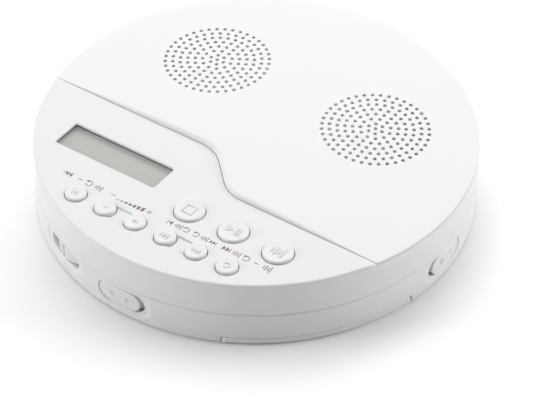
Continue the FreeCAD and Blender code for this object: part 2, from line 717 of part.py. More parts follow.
def lid_liner():
    plate = post(INNER_R - SIDE_PLAY, LINER_Z, LINER_TOP_Z)
    hub_room = post(HUB_R + HUB_ROOM, LINER_Z - CUT, LINER_Z + HUB_ROOM_DEPTH)
    shank = SCREW_R + SCREW_PLAY
    holes = [post(shank, LINER_Z - CUT, LINER_TOP_Z + CUT, x, y) for x, y in lid_screw_places()]
    return less(plate, holes + [hub_room])


def lid_screws():
    head = post(SCREW_HEAD_R, LINER_Z - SCREW_HEAD_T, LINER_Z)
    screw = head.fuse(post(SCREW_R, LINER_Z, PLATE_Z))
    return spread(screw, lid_screw_places())


def lid_hook():
    """Flat hook that hangs from the liner behind the front slider."""
    y0 = HOOK_Y - HOOK_T / 2
    y1 = HOOK_Y + HOOK_T / 2
    foot = block(-2 * HOOK_HALF, 2 * HOOK_HALF, y0, y1 + HOOK_FOOT_D, LINER_Z - HOOK_FOOT_T, LINER_Z)
    blade = block(-HOOK_HALF, HOOK_HALF, y0, y1, HOOK_TIP_Z, LINER_Z)
    barb = block(HOOK_HALF, HOOK_HALF + HOOK_BARB, y0, y1, HOOK_TIP_Z, HOOK_TIP_Z + HOOK_BARB)
    return joined([foot, blade, barb])


# ---- base casing -------------------------------------------------------------------------------------
def through_wall(length, height, x, z):
    """Stadium-shaped cutter through the front wall."""
    return stadium(length, height, x, z, -BODY_R - CUT, SLOT_DEPTH - INNER_R)


def side_slot():
    """Through slot in the wall at the front, with the shallow dish round it."""
    dish = through_wall(DISH_L, DISH_H, DISH_SHIFT, SLOT_Z)
    dish = dish.cut(post(BODY_R - DISH_DEPTH, 0, SEAM_Z))
    return through_wall(SLOT_L, SLOT_H, -SLOT_SHIFT, SLOT_Z).fuse(dish)


def bay_block(wall, z0, z1):
    """Room for both cells and their contacts, grown on all sides by a wall, inside the casing's wall."""
    half = BAY_HALF + wall
    grow = CELL_R + CELL_GAP + wall
    room = block(-half, half, -OUTER_CELL_D - grow, grow - INNER_CELL_D, z0, z1)
    return room.common(post(INNER_R, z0, z1))


def door_region(gap, z0, z1):
    half = DOOR_HALF + gap
    return block(-half, half, -BODY_R - CUT, gap - DOOR_INNER, z0, z1)


def door_room():
    """Everything that the battery door fills in the base: a thin plate and the foot of the wall."""
    plate = door_region(DOOR_GAP, 0, FOOT_STAND + DOOR_T + DOOR_SEAT)
    foot = wall_ring(BODY_R + CUT, INNER_R - SIDE_PLAY, 0, DOOR_LIP_Z + DOOR_GAP)
    return turned(plate.fuse(door_region(DOOR_GAP, 0, SEAM_Z).common(foot)), DOOR_ANGLE)


def bay_walls():
    walls = bay_block(BAY_WALL, FOOT_STAND + DOOR_T + DOOR_SEAT, CELL_Z + CELL_R)
    walls = walls.cut(bay_block(0, 0, RIM_Z)).common(post(INNER_R - BAY_RIM_GAP, 0, RIM_Z))
    return turned(walls, DOOR_ANGLE)


def hold_shelf():
    w, d, _ = HOLD_SWITCH
    half = w / 2 + SHELF_MARGIN
    front = -HOLD_SWITCH_R - SHELF_MARGIN
    return turned(block(-half, half, front, d - HOLD_SWITCH_R, FLOOR_Z, HOLD_SHELF_Z), HOLD_ANGLE)


def floor_posts():
    """Screw bosses, damper posts and standoffs."""
    posts = [post(BOSS_R, FOOT_STAND + BOSS_FOOT, POST_Z, x, y) for x, y in base_screw_places()]
    posts += [post(DAMPER_POST_R, FLOOR_Z, CHASSIS_Z - DAMPER_LIP, x, y) for x, y in DAMPERS]
    posts += [post(STANDOFF_R, FLOOR_Z, MAIN_BOARD_Z, x, y) for x, y in STANDOFFS]
    return posts


def lower_shell():
    body = post(BODY_R, FOOT_STAND, BASE_TOP_Z)
    body = body.makeFillet(EDGE_R, level_circles(body, FOOT_STAND))
    body = body.makeChamfer(SEAM_CHAMFER, level_circles(body, BASE_TOP_Z))
    jack_hole = rod_y(JACK_HOLE_R, -BODY_R - CUT, SLOT_DEPTH - INNER_R, 0, jack_z())
    power_hole = power_block(SIDE_PLAY, BODY_R + CUT, INNER_R - SLOT_DEPTH)
    cuts = [
        post(INNER_R, FLOOR_Z, SEAM_Z),
        side_slot(),
        turned(mirrored_x(side_slot()), HOLD_ANGLE),
        turned(through_wall(SLOT_L, WHEEL_WINDOW_H, 0, WHEEL_Z), WHEEL_ANGLE),
        door_room(),
        turned(bay_block(0, 0, SEAM_Z), DOOR_ANGLE),
        turned(jack_hole, JACK_ANGLE),
        turned(power_hole, POWER_ANGLE),
        hinge_rod(HINGE_RELIEF),
    ]
    cuts += [post(FOOT_R, 0, FOOT_STAND + FOOT_SEAT, x, y) for x, y in ring_places(FOOT_RING_R, FOOT_ANGLES)]
    adds = [bay_walls(), hold_shelf()] + floor_posts()
    for side in (-1, 1):
        x0, x1 = sorted([side * (LID_BARREL_HALF + BARREL_GAP), side * HINGE_HALF])
        adds.append(hinge_barrel(x0, x1, False))
    shell = joined([less(body, cuts)] + adds)
    bores = [screw_bore(x, y) for x, y in base_screw_places()]
    return less(shell, bores + [hinge_rod(HINGE_PIN_R + HINGE_FIT)])


def screw_bore(x, y):
    head = post(SCREW_HEAD_R + SCREW_PLAY, 0, FOOT_STAND + SCREW_HEAD_T, x, y)
    return head.fuse(post(SCREW_R + SCREW_PLAY, 0, POST_Z + CUT, x, y))


def base_screws():
    z = FOOT_STAND + SCREW_HEAD_T
    head = post(SCREW_HEAD_R, FOOT_STAND + SCREW_PLAY, z)
    return spread(head.fuse(post(SCREW_R, z, DECK_UNDER_Z - BORE_ROOF)), base_screw_places())


def feet():
    return spread(post(FOOT_R, 0, FOOT_STAND + FOOT_SEAT), ring_places(FOOT_RING_R, FOOT_ANGLES))


def hinge_pin():
    return rod_x(HINGE_PIN_R, -HINGE_HALF, HINGE_HALF, HINGE_Y, SEAM_Z)


def disc_deck():
    """Well for the disc, a raised ring round it and an outer skirt, all of one thickness, on four posts."""
    outer = INNER_R - LID_GAP
    low = DECK_UNDER_Z - DECK_SKIRT
    wall = WELL_R + DECK_T
    under = RING_Z - DECK_T
    profile = [(DECK_BORE_R, DECK_UNDER_Z), (wall, DECK_UNDER_Z), (wall, under), (outer - DECK_T, under)]
    profile += [(outer - DECK_T, low), (outer, low), (outer, RING_Z)]
    profile += [(WELL_R, RING_Z), (WELL_R, DECK_Z), (DECK_BORE_R, DECK_Z)]
    posts = [post(BOSS_R, POST_Z, under, x, y) for x, y in base_screw_places()]
    deck = joined([revolved(profile)] + posts)
    cuts = [post(SCREW_R, POST_Z, DECK_UNDER_Z - BORE_ROOF, x, y) for x, y in base_screw_places()]
    slot_end = LENS_REST_Y + SLED_TRAVEL + ACTUATOR_W / 2 + SLED_END_GAP / 2
    cuts.append(block(-SLED_SLOT_HALF, SLED_SLOT_HALF, 0, slot_end, DECK_UNDER_Z - CUT, DECK_Z + CUT))
    hook_back = HOOK_Y + HOOK_T / 2 + HOOK_ROOM
    hook_right = HOOK_HALF + HOOK_BARB + HOOK_ROOM
    cuts.append(block(-HOOK_HALF - HOOK_ROOM, hook_right, -BODY_R, hook_back, low - CUT, RING_Z + CUT))
    hinge_half = HINGE_HALF + 2 * HINGE_MARGIN
    cuts.append(block(-hinge_half, hinge_half, HINGE_Y - HINGE_ROOM, BODY_R, low - CUT, RING_Z + CUT))
    return less(deck, cuts)


# ---- battery bay -------------------------------------------------------------------------------------
def battery_door():
    plate = post(BODY_R, FOOT_STAND, DOOR_LIP_Z)
    plate = plate.makeFillet(EDGE_R, level_circles(plate, FOOT_STAND))
    hollow = post(INNER_R + SIDE_PLAY, FOOT_STAND + DOOR_T, SEAM_Z)
    return turned(plate.cut(hollow).common(door_region(0, 0, SEAM_Z)), DOOR_ANGLE)


def battery_cell(distance):
    """One AA cell, its nub towards the wall with the flat contacts."""
    wall = BAY_HALF - CONTACT_T
    end = wall - CELL_NUB_L
    can = rod_x(CELL_R, end - CELL_L, end, -distance, CELL_Z)
    nub = rod_x(CELL_NUB_R, end, wall, -distance, CELL_Z)
    return can.fuse(nub)


def battery_contacts():
    """Flat plates at the nub ends and bowed leaves at the other ends."""
    half = CONTACT_HALF
    tip = BAY_HALF - CONTACT_T - CELL_NUB_L - CELL_L
    group = []
    for distance in (INNER_CELL_D, OUTER_CELL_D):
        flat = block(BAY_HALF - CONTACT_T, BAY_HALF, -half, half, CELL_Z - half, CELL_Z + half)
        flat.translate(V(0, -distance, 0))
        group.append(flat)
        thin = half - LEAF_T
        outer = [(-BAY_HALF, CELL_Z + half), (tip, CELL_Z), (-BAY_HALF, CELL_Z - half)]
        inner = [(-BAY_HALF, CELL_Z - thin), (tip - LEAF_T, CELL_Z), (-BAY_HALF, CELL_Z + thin)]
        leaf = polygon_face([(x, -distance - LEAF_HALF, z) for x, z in outer + inner])
        group.append(leaf.extrude(V(0, 2 * LEAF_HALF, 0)))
    return Part.makeCompound(group)


# ---- side controls and sockets -----------------------------------------------------------------------
def slider():
    """Curved button in the front slot, with the flange that holds it behind the wall."""
    length = SLOT_L - SLIDER_TRAVEL - 2 * SLIDER_GAP
    height = SLOT_H - 2 * SLIDER_GAP
    lap = 2 * SLIDER_FLANGE
    x = -SLOT_SHIFT - SLIDER_TRAVEL / 2
    flange_r = INNER_R - SLIDER_FLANGE_GAP
    inner_r = flange_r - SLIDER_FLANGE_T
    deep = SLOT_DEPTH + SLOT_H / 2 - INNER_R
    button = stadium(length, height, x, SLOT_Z, -BODY_R - CUT, deep)
    button = button.common(wall_ring(BODY_R - SLIDER_SINK, inner_r, 0, SEAM_Z))
    flange = stadium(length + lap, height + lap, x, SLOT_Z, -BODY_R - CUT, deep)
    flange = flange.common(wall_ring(flange_r, inner_r, 0, SEAM_Z))
    return button.fuse(flange)


def slider_back():
    """How far inside the wall a slider's flange ends."""
    return SLIDER_FLANGE_GAP + SLIDER_FLANGE_T


def open_slider():
    x0 = HOOK_HALF + HOOK_BARB + CATCH_GAP
    z0 = HOOK_TIP_Z + HOOK_BARB + SIDE_PLAY
    y0 = slider_back() - LUG_GAP - INNER_R
    y1 = HOOK_Y + HOOK_T / 2 + LUG_GAP
    return joined([slider(), block(x0, x0 + CATCH_W, y0, y1, z0, z0 + CATCH_T)])


def hold_slider():
    y0 = slider_back() - LUG_GAP - INNER_R
    y1 = -HOLD_SWITCH_R - LUG_GAP
    lug = block(-LUG_HALF, LUG_HALF, y0, y1, SLOT_Z - LUG_T / 2, SLOT_Z + LUG_T / 2)
    return turned(joined([mirrored_x(slider()), lug]), HOLD_ANGLE)


def hold_switch():
    w, d, h = HOLD_SWITCH
    body = block(-w / 2, w / 2, -HOLD_SWITCH_R, d - HOLD_SWITCH_R, HOLD_SHELF_Z, HOLD_SHELF_Z + h)
    return turned(body, HOLD_ANGLE)


def lid_switch():
    """Small switch beside the lid hook, with a lever that reaches towards it."""
    w, d, h = LID_SWITCH
    x = LID_SWITCH_X + w
    y = LID_SWITCH_IN - INNER_R
    top = FLOOR_Z + h - LEVER_DROP
    lever = block(x, x + LEVER_L, y, y + LEVER_W, top - LEVER_T, top)
    return block(LID_SWITCH_X, x, y, y + d, FLOOR_Z, FLOOR_Z + h).fuse(lever)


def wheel_centre():
    return on_circle(BODY_R - WHEEL_SINK - WHEEL_R, WHEEL_ANGLE - 90)


def volume_wheel():
    x, y = wheel_centre()
    low = WHEEL_Z - WHEEL_T / 2
    points = []
    for i in range(WHEEL_FLUTES):
        for share, sink in FLUTE_SHARES:
            px, py = on_circle(WHEEL_R - sink * FLUTE_DEPTH, (i + share) * 360 / WHEEL_FLUTES)
            points.append((x + px, y + py, low))
    wheel = polygon_face(points).extrude(V(0, 0, WHEEL_T))
    return wheel.cut(post(WHEEL_SHAFT_R + WHEEL_FIT, 0, RIM_Z, x, y))


def volume_pot():
    x, y = wheel_centre()
    top = WHEEL_Z + WHEEL_T / 2
    low = WHEEL_Z - WHEEL_T / 2 - POT_GAP
    return joined([post(POT_R, MAIN_BOARD_TOP_Z, low, x, y), post(WHEEL_SHAFT_R, low, top, x, y)])


def jack_z():
    return MAIN_BOARD_TOP_Z + JACK_H / 2


def headphone_jack():
    """Body on the board close behind the wall, bored for the plug."""
    front = JACK_PLAY - INNER_R
    half = JACK_W / 2
    body = block(-half, half, front, front + JACK_L, MAIN_BOARD_TOP_Z, MAIN_BOARD_TOP_Z + JACK_H)
    bore = rod_y(JACK_BORE_R, -BODY_R, front + JACK_L - JACK_BACK_T, 0, jack_z())
    return turned(body.cut(bore), JACK_ANGLE)


def power_block(grow, outer, inner):
    w = POWER_W / 2 + grow
    return block(-w, w, -outer, -inner, MAIN_BOARD_TOP_Z - grow, MAIN_BOARD_TOP_Z + POWER_H + grow)


def power_socket():
    """Flat metal shell, open to the outside, with a tongue in its middle."""
    mouth = BODY_R - POWER_SINK
    shell = power_block(0, mouth, mouth - POWER_L)
    hollow = power_block(-POWER_WALL, mouth + CUT, mouth - POWER_L + POWER_WALL)
    half = TONGUE_W / 2
    z = MAIN_BOARD_TOP_Z + POWER_H / 2
    tongue = block(-half, half, CUT - mouth, POWER_L - mouth, z - TONGUE_T / 2, z + TONGUE_T / 2)
    return turned(joined([shell.cut(hollow), tongue]), POWER_ANGLE)


# ---- boards ------------------------------------------------------------------------------------------
def board_notch(angle):
    """Cutter round one screw post of the base, open to the board's edge."""
    r = BOSS_R + BOARD_HOLE_GAP
    slot = block(BASE_SCREW_R, 2 * BODY_R, -r, r, 0, POST_Z)
    return turned(slot.fuse(post(r, 0, POST_Z, BASE_SCREW_R, 0)), angle)


def main_board():
    """Board on the left half of the base, rounded along the wall and cut out round posts and bosses."""
    r = MAIN_BOARD_R
    board = block(-r, MAIN_BOARD_RIGHT, -r, MAIN_BOARD_BACK, MAIN_BOARD_Z, MAIN_BOARD_TOP_Z)
    board = board.common(post(r, MAIN_BOARD_Z, MAIN_BOARD_TOP_Z))
    d = LID_SWITCH[1]
    gap = BOARD_HOLE_GAP
    y = LID_SWITCH_IN - INNER_R
    room = block(LID_SWITCH_X - gap, 0, -BODY_R, y + d + gap, 0, POST_Z)
    rooms = [post(BOSS_R + gap, 0, POST_Z, x, y) for x, y in DAMPERS]
    notches = [board_notch(a) for a in BASE_SCREW_ANGLES]
    return less(board, rooms + notches + [room])


def board_chips():
    low = MAIN_BOARD_TOP_Z
    return Part.makeCompound([block(x, x + w, y, y + d, low, low + CHIP_T) for x, y, w, d in CHIPS])


# ---- disc drive --------------------------------------------------------------------------------------
def motor_rooms():
    """Cutters for the spindle motor, the gears and the sled motor, which lies open at the top."""
    z0 = CHASSIS_Z - CUT
    z1 = CHASSIS_TOP_Z + CUT
    gears_left = SCREW_X - GEAR_MODULE * SCREW_GEAR_TEETH / 2 - 3 * GEAR_MODULE
    gears_back = GEAR_Y + GEAR_WIDTH + GEAR_GAP
    front = SLED_MOTOR_END - SLED_MOTOR_L
    left = PINION_X - SLED_MOTOR_R
    right = PINION_X + SLED_MOTOR_R
    return [
        post(MOTOR_R, z0, z1),
        block(gears_left, SHELF_RIGHT + CUT, SLED_MOTOR_END, gears_back, z0, z1),
        rod_y(SLED_MOTOR_R, front, SLED_MOTOR_END, PINION_X, ROD_Z),
        block(left, right, front, SLED_MOTOR_END, ROD_Z, z1),
    ]


def drive_chassis():
    """Plate with a long window for the sled, ears for the dampers and a shelf for the sled motor."""
    z0 = CHASSIS_Z
    z1 = CHASSIS_TOP_Z
    frame = block(FRAME_LEFT, FRAME_RIGHT, FRAME_FRONT, WINDOW_FAR + FRAME_WALL, z0, z1)
    shelf_front = SLED_MOTOR_END - SLED_MOTOR_L - SHELF_WALL
    shelf_back = GEAR_Y + GEAR_WIDTH + GEAR_GAP + SHELF_WALL
    shelf = block(FRAME_RIGHT - CUT, SHELF_RIGHT, shelf_front, shelf_back, z0, z1)
    ears = [post(DAMPER_R + DAMPER_EAR, z0, z1, x, y) for x, y in DAMPERS]
    chassis = joined([frame, shelf] + ears).common(post(INNER_R - CUT, z0, z1))
    window_left = -ROD_X - WINDOW_SIDE
    cuts = motor_rooms()
    window_right = SCREW_X + NUT_OUT + NUT_ROOM
    cuts.append(block(window_left, window_right, WINDOW_NEAR, WINDOW_FAR, z0 - CUT, z1 + CUT))
    screw_end = WINDOW_FAR + FRAME_WALL + CUT
    cuts.append(rod_y(SCREW_SHAFT_R + SCREW_FIT, SLED_MOTOR_END - CUT, screw_end, SCREW_X, ROD_Z))
    cuts += [post(DAMPER_NECK_R, z0 - CUT, z1 + CUT, x, y) for x, y in DAMPERS]
    cuts += [guide_rod(x) for x in (-ROD_X, ROD_X)]
    return less(chassis, cuts)


def chassis_dampers():
    """Rubber bobbins through the chassis, each with a lip above and below it."""
    low = CHASSIS_Z - DAMPER_LIP
    high = CHASSIS_TOP_Z + DAMPER_LIP
    profile = [(0, low), (DAMPER_R, low), (DAMPER_R, CHASSIS_Z), (DAMPER_NECK_R, CHASSIS_Z)]
    profile += [(DAMPER_NECK_R, CHASSIS_TOP_Z), (DAMPER_R, CHASSIS_TOP_Z), (DAMPER_R, high), (0, high)]
    return spread(revolved(profile), DAMPERS)


def spindle_motor():
    low = CHASSIS_TOP_Z - MOTOR_L
    flange_top = CHASSIS_TOP_Z + MOTOR_FLANGE_T
    can = post(MOTOR_R, low, CHASSIS_TOP_Z)
    flange = post(MOTOR_R + MOTOR_FLANGE, CHASSIS_TOP_Z, flange_top)
    bore = post(SPINDLE_R + SPINDLE_FIT, low + MOTOR_FLOOR, flange_top + CUT)
    return can.fuse(flange).cut(bore)


def turntable():
    """Neck, platter and the hub that centres the disc, with seats for three catches."""
    low = DISC_Z - PLATTER_T
    neck_low = CHASSIS_TOP_Z + MOTOR_FLANGE_T + NECK_GAP
    hub = post(HUB_R, DISC_Z, HUB_TOP_Z)
    hub = hub.makeChamfer(HUB_CHAMFER, level_circles(hub, HUB_TOP_Z))
    table = joined([post(NECK_R, neck_low, low), post(PLATTER_R, low, DISC_Z), hub])
    cuts = [post(SPINDLE_R, CHASSIS_TOP_Z, HUB_TOP_Z - SPINDLE_CAP)]
    cuts += [turned(pawl_block(0), a) for a in PAWL_ANGLES]
    return less(table, cuts)


def pawl_block(proud):
    low = DISC_Z + PAWL_LIFT
    return block(HUB_R - PAWL_L, HUB_R + proud, -PAWL_HALF, PAWL_HALF, low, low + PAWL_T)


def hub_pawls():
    """Three small catches that stand out of the hub and hold the disc."""
    pawl = pawl_block(PAWL_PROUD).common(post(HUB_R + PAWL_PROUD, 0, RIM_Z))
    return Part.makeCompound([turned(pawl, a) for a in PAWL_ANGLES])


def spindle_shaft():
    low = CHASSIS_TOP_Z - MOTOR_L + MOTOR_FLOOR + SHAFT_END_GAP
    return post(SPINDLE_R, low, HUB_TOP_Z - SPINDLE_CAP)


def guide_rod(x):
    return rod_y(ROD_R, WINDOW_NEAR - ROD_GRIP, WINDOW_FAR + ROD_GRIP, x, ROD_Z)


def spur_gear(teeth, y0, y1):
    """Straight teeth with slack flanks, axis along Y, first tooth towards +X."""
    pitch_r = GEAR_MODULE * teeth / 2
    tip_r = pitch_r + GEAR_MODULE
    root_r = pitch_r - TOOTH_DEPTH * GEAR_MODULE
    tooth = ((-TOOTH_ROOT, root_r), (-TOOTH_TIP, tip_r), (TOOTH_TIP, tip_r), (TOOTH_ROOT, root_r))
    points = []
    for i in range(teeth):
        for share, r in tooth:
            px, pz = on_circle(r, (i + share) * 360 / teeth)
            points.append((px, y0, pz))
    return polygon_face(points).extrude(V(0, y1 - y0, 0))


def lead_screw():
    return rod_y(SCREW_SHAFT_R, GEAR_Y - SCREW_END, WINDOW_FAR + FRAME_WALL, SCREW_X, ROD_Z)


def screw_gear():
    gear = spur_gear(SCREW_GEAR_TEETH, GEAR_Y, GEAR_Y + GEAR_WIDTH)
    gear.translate(V(SCREW_X, 0, ROD_Z))
    return gear.cut(rod_y(SCREW_SHAFT_R, 0, WINDOW_FAR, SCREW_X, ROD_Z))


def motor_pinion():
    gear = spur_gear(PINION_TEETH, GEAR_Y, GEAR_Y + GEAR_WIDTH)
    gear.rotate(ORIGIN, V(0, 1, 0), 180 / PINION_TEETH)
    gear.translate(V(PINION_X, 0, ROD_Z))
    shaft = rod_y(PINION_SHAFT_R, SLED_MOTOR_END - PINION_SHAFT_L, GEAR_Y, PINION_X, ROD_Z)
    return gear.fuse(shaft)


def sled_motor():
    can = rod_y(SLED_MOTOR_R, SLED_MOTOR_END - SLED_MOTOR_L, SLED_MOTOR_END, PINION_X, ROD_Z)
    bore = rod_y(PINION_SHAFT_R + SPINDLE_FIT, SLED_MOTOR_END - PINION_SHAFT_L, GEAR_Y, PINION_X, ROD_Z)
    return can.cut(bore)


def pickup_sled():
    """Carriage that runs on both rods by round bushes."""
    y0 = LENS_REST_Y - SLED_FRONT
    y1 = LENS_REST_Y + SLED_BACK
    half_t = SLED_WEB_T / 2
    body = block(-SLED_HALF, SLED_HALF, y0, y1, ROD_Z - SLED_LOW, ROD_Z + SLED_TOP)
    web = block(-SLED_WEB_HALF, SLED_WEB_HALF, y0, y1, ROD_Z - half_t, ROD_Z + half_t)
    bushes = [rod_y(ROD_R + BUSH_T, y0, y1, x, ROD_Z) for x in (-ROD_X, ROD_X)]
    sled = joined([body, web] + bushes)
    return less(sled, [rod_y(ROD_R + ROD_FIT, y0 - CUT, y1 + CUT, x, ROD_Z) for x in (-ROD_X, ROD_X)])


def lens_actuator():
    z = ROD_Z + SLED_TOP
    frame = rounded_plate(ACTUATOR_W, ACTUATOR_W, ACTUATOR_CORNER_R, 0, LENS_REST_Y, z, z + ACTUATOR_T)
    return frame.cut(post(PICKUP_LENS_R + LENS_GAP, z, z + ACTUATOR_T + CUT, 0, LENS_REST_Y))


def pickup_lens():
    z = ROD_Z + SLED_TOP + LENS_LIFT
    return post(PICKUP_LENS_R, z, z + PICKUP_LENS_T, 0, LENS_REST_Y)


def feed_nut():
    """Arm from the sled to the lead screw, with a half nut over the screw."""
    z = ROD_Z + SLED_TOP
    y0 = LENS_REST_Y - NUT_HALF
    y1 = LENS_REST_Y + NUT_HALF
    arm = block(ARM_X, SCREW_X + NUT_OUT, y0, y1, z, z + ARM_T)
    nut = block(SCREW_X - NUT_IN, SCREW_X + NUT_OUT, y0, y1, ROD_Z, z)
    return joined([arm, nut]).cut(rod_y(SCREW_SHAFT_R + NUT_FIT, 0, WINDOW_FAR, SCREW_X, ROD_Z))


# ---- one file per piece ------------------------------------------------------------------------------
def pieces():
    """Every piece of the player by name."""
    made = {
        "upper_shell": upper_shell(),
        "speaker_panel": speaker_panel(),
        "lid_liner": lid_liner(),
        "display_lens": display_lens(),
        "display_module": display_module(),
        "display_glass": display_glass(),
        "key_board": key_board(),
        "switch_domes": switch_domes(),
        "lid_hook": lid_hook(),
        "lid_screws": lid_screws(),
        "lower_shell": lower_shell(),
        "disc_deck": disc_deck(),
        "hinge_pin": hinge_pin(),
        "base_screws": base_screws(),
        "feet": feet(),
        "battery_door": battery_door(),
        "battery_cell_inner": turned(battery_cell(INNER_CELL_D), DOOR_ANGLE),
        "battery_cell_outer": turned(battery_cell(OUTER_CELL_D), DOOR_ANGLE),
        "battery_contacts": turned(battery_contacts(), DOOR_ANGLE),
        "open_slider": open_slider(),
        "hold_slider": hold_slider(),
        "hold_switch": hold_switch(),
        "lid_switch": lid_switch(),
        "volume_wheel": volume_wheel(),
        "volume_pot": volume_pot(),
        "headphone_jack": headphone_jack(),
        "power_socket": power_socket(),
        "main_board": main_board(),
        "board_chips": board_chips(),
        "drive_chassis": drive_chassis(),
        "chassis_dampers": chassis_dampers(),
        "spindle_motor": spindle_motor(),
        "spindle_shaft": spindle_shaft(),
        "turntable": turntable(),
        "hub_pawls": hub_pawls(),
        "guide_rod_left": guide_rod(-ROD_X),
        "guide_rod_right": guide_rod(ROD_X),
        "lead_screw": lead_screw(),
        "screw_gear": screw_gear(),
        "motor_pinion": motor_pinion(),
        "sled_motor": sled_motor(),
        "pickup_sled": pickup_sled(),
        "lens_actuator": lens_actuator(),
        "pickup_lens": pickup_lens(),
        "feed_nut": feed_nut(),
    }
    for part, make in (("magnet", speaker_magnet), ("frame", speaker_frame), ("cone", speaker_cone)):
        made["speaker_" + part + "_right"] = make()
        made["speaker_" + part + "_left"] = mirrored_x(make())
    for name, r, x, y in key_places():
        made["key_" + name] = key(r, x, y)
    return made


def main():
    os.makedirs("parts", exist_ok=True)
    for name, shape in sorted(pieces().items()):
        shape.exportStep("parts/" + name + ".step")


main()
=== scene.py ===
"""Looks of a round portable disc player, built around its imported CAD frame.

Plan sizes are in millimetres and are scaled to metres when a mesh is made.
+Z is up, -Y is the user's side with the open slider, +Y is the hinge side.
"""

import json
import logging
import math
from dataclasses import dataclass, field
from enum import Enum
from typing import Any, Callable, Dict, Iterable, List, Optional, Sequence, Tuple

import bpy
from mathutils import Matrix, Vector, geometry

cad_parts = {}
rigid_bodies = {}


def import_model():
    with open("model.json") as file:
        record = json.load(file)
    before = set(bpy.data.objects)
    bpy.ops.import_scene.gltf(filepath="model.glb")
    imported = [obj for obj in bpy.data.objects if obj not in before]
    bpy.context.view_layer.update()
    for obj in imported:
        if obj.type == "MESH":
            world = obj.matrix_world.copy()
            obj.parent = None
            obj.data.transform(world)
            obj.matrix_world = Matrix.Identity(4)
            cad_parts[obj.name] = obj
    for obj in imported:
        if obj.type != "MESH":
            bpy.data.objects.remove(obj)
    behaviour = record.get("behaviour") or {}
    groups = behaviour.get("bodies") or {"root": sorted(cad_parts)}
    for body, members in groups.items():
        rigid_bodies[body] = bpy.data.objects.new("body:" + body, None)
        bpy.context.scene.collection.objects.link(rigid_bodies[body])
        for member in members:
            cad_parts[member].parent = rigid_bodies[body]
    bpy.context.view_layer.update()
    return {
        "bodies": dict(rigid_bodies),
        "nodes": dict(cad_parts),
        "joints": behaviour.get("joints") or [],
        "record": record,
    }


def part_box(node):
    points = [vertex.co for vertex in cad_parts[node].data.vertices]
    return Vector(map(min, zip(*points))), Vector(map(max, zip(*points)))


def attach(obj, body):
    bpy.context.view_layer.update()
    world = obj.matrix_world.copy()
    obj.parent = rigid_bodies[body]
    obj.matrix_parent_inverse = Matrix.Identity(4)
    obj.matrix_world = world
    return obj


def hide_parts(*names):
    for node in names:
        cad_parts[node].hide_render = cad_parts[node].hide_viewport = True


log = logging.getLogger("disc_player")

MM = 0.001
Plan = Tuple[float, float]
Point = Tuple[float, float, float]
Colour = Tuple[float, float, float]
Warp = Callable[[float, float, float], Point]


# ---- Sizes of the player ----
@dataclass(frozen=True)
class Layout:
    """Places and sizes that several pieces share, in millimetres and degrees."""

    body_r: float = 80.0
    inner_r: float = 77.8
    rim_z: float = 27.9
    crown: float = 1.75
    panel_z: float = 27.0
    panel_rim_r: float = 79.9
    panel_edge: float = 0.3
    plate_z: float = 25.9
    seam_z: float = 14.0
    lid_z: float = 14.04
    lid_edge: float = 0.06
    lid_draft: float = 0.25
    base_top_z: float = 13.98
    base_shoulder: float = 0.8
    foot_stand: float = 0.5
    edge_r: float = 0.9
    seam_left_y: float = -16.5
    seam_right_y: float = -33.35
    bend_x: float = 2.6
    bend_r: float = 14.7
    bend_turn: float = 45.0
    speaker_x: float = 34.9
    speaker_y: float = 24.55
    display: Tuple[float, float, float, float] = (-33.85, -39.3, 44.0, 12.4)
    floor_z: float = 2.3
    door_angle: float = 51.65
    slot_z: float = 8.0
    wheel_z: float = 9.4
    hold_angle: float = 90.0
    wheel_angle: float = -22.75
    hinge_y: float = 77.0
    hinge_relief: float = 4.2
    hinge_half: float = 22.0

    def along_wall(self, angle: float) -> float:
        """Length along the body's face that an angle takes up.

        Args:
            angle: The angle, in degrees.

        Returns:
            The length, in millimetres.
        """
        return math.radians(angle) * self.body_r

    def hinge_start(self, r: float) -> float:
        """Angle from the front at which the hinge zone starts.

        Args:
            r: Radius at which it is measured.

        Returns:
            The angle, in degrees.
        """
        return 180 - math.degrees(math.asin(self.hinge_half / r))

    def lid_r(self, z: float) -> float:
        """Radius of the lid's wall, which leans in a little towards the seam.

        Args:
            z: Height, in millimetres.

        Returns:
            The radius, in millimetres.
        """
        share = (self.panel_z - z) / (self.panel_z - self.lid_z)
        return self.body_r - self.lid_draft * max(0.0, min(1.0, share))

    def crown_z(self, x: float, y: float) -> float:
        """Height of the speaker panel's domed face.

        Args:
            x: Place across, in millimetres.
            y: Place front to back, in millimetres.

        Returns:
            The height above the table, in millimetres.
        """
        rim = self.panel_rim_r - self.panel_edge
        radius = (rim * rim + self.crown * self.crown) / (2 * self.crown)
        return self.rim_z + self.crown - radius + math.sqrt(radius * radius - x * x - y * y)

    def rise(self, x: float, y: float) -> float:
        """Height of the speaker panel's domed face over the console, 0 at the rim.

        Args:
            x: Place across, in millimetres.
            y: Place front to back, in millimetres.

        Returns:
            The height, in millimetres.
        """
        at_rim = math.hypot(x, y) >= self.panel_rim_r - self.panel_edge - 0.1
        return 0.0 if at_rim else self.crown_z(x, y) - self.rim_z


LAYOUT = Layout()


@dataclass(frozen=True)
class KeyPlace:
    """One push key: its name, centre, radius and the pictogram on its cap."""

    name: str
    x: float
    y: float
    r: float
    icon: str


@dataclass(frozen=True)
class KeyRow:
    """Evenly spaced keys of one radius, from the first one's centre, with each key's pictogram."""

    x: float
    y: float
    pitch: float
    r: float
    icons: Dict[str, str]

    def keys(self) -> List[KeyPlace]:
        """The row's keys from left to right.

        Returns:
            The keys.
        """
        return [KeyPlace(name, self.x + self.pitch * i, self.y, self.r, icon)
                for i, (name, icon) in enumerate(self.icons.items())]


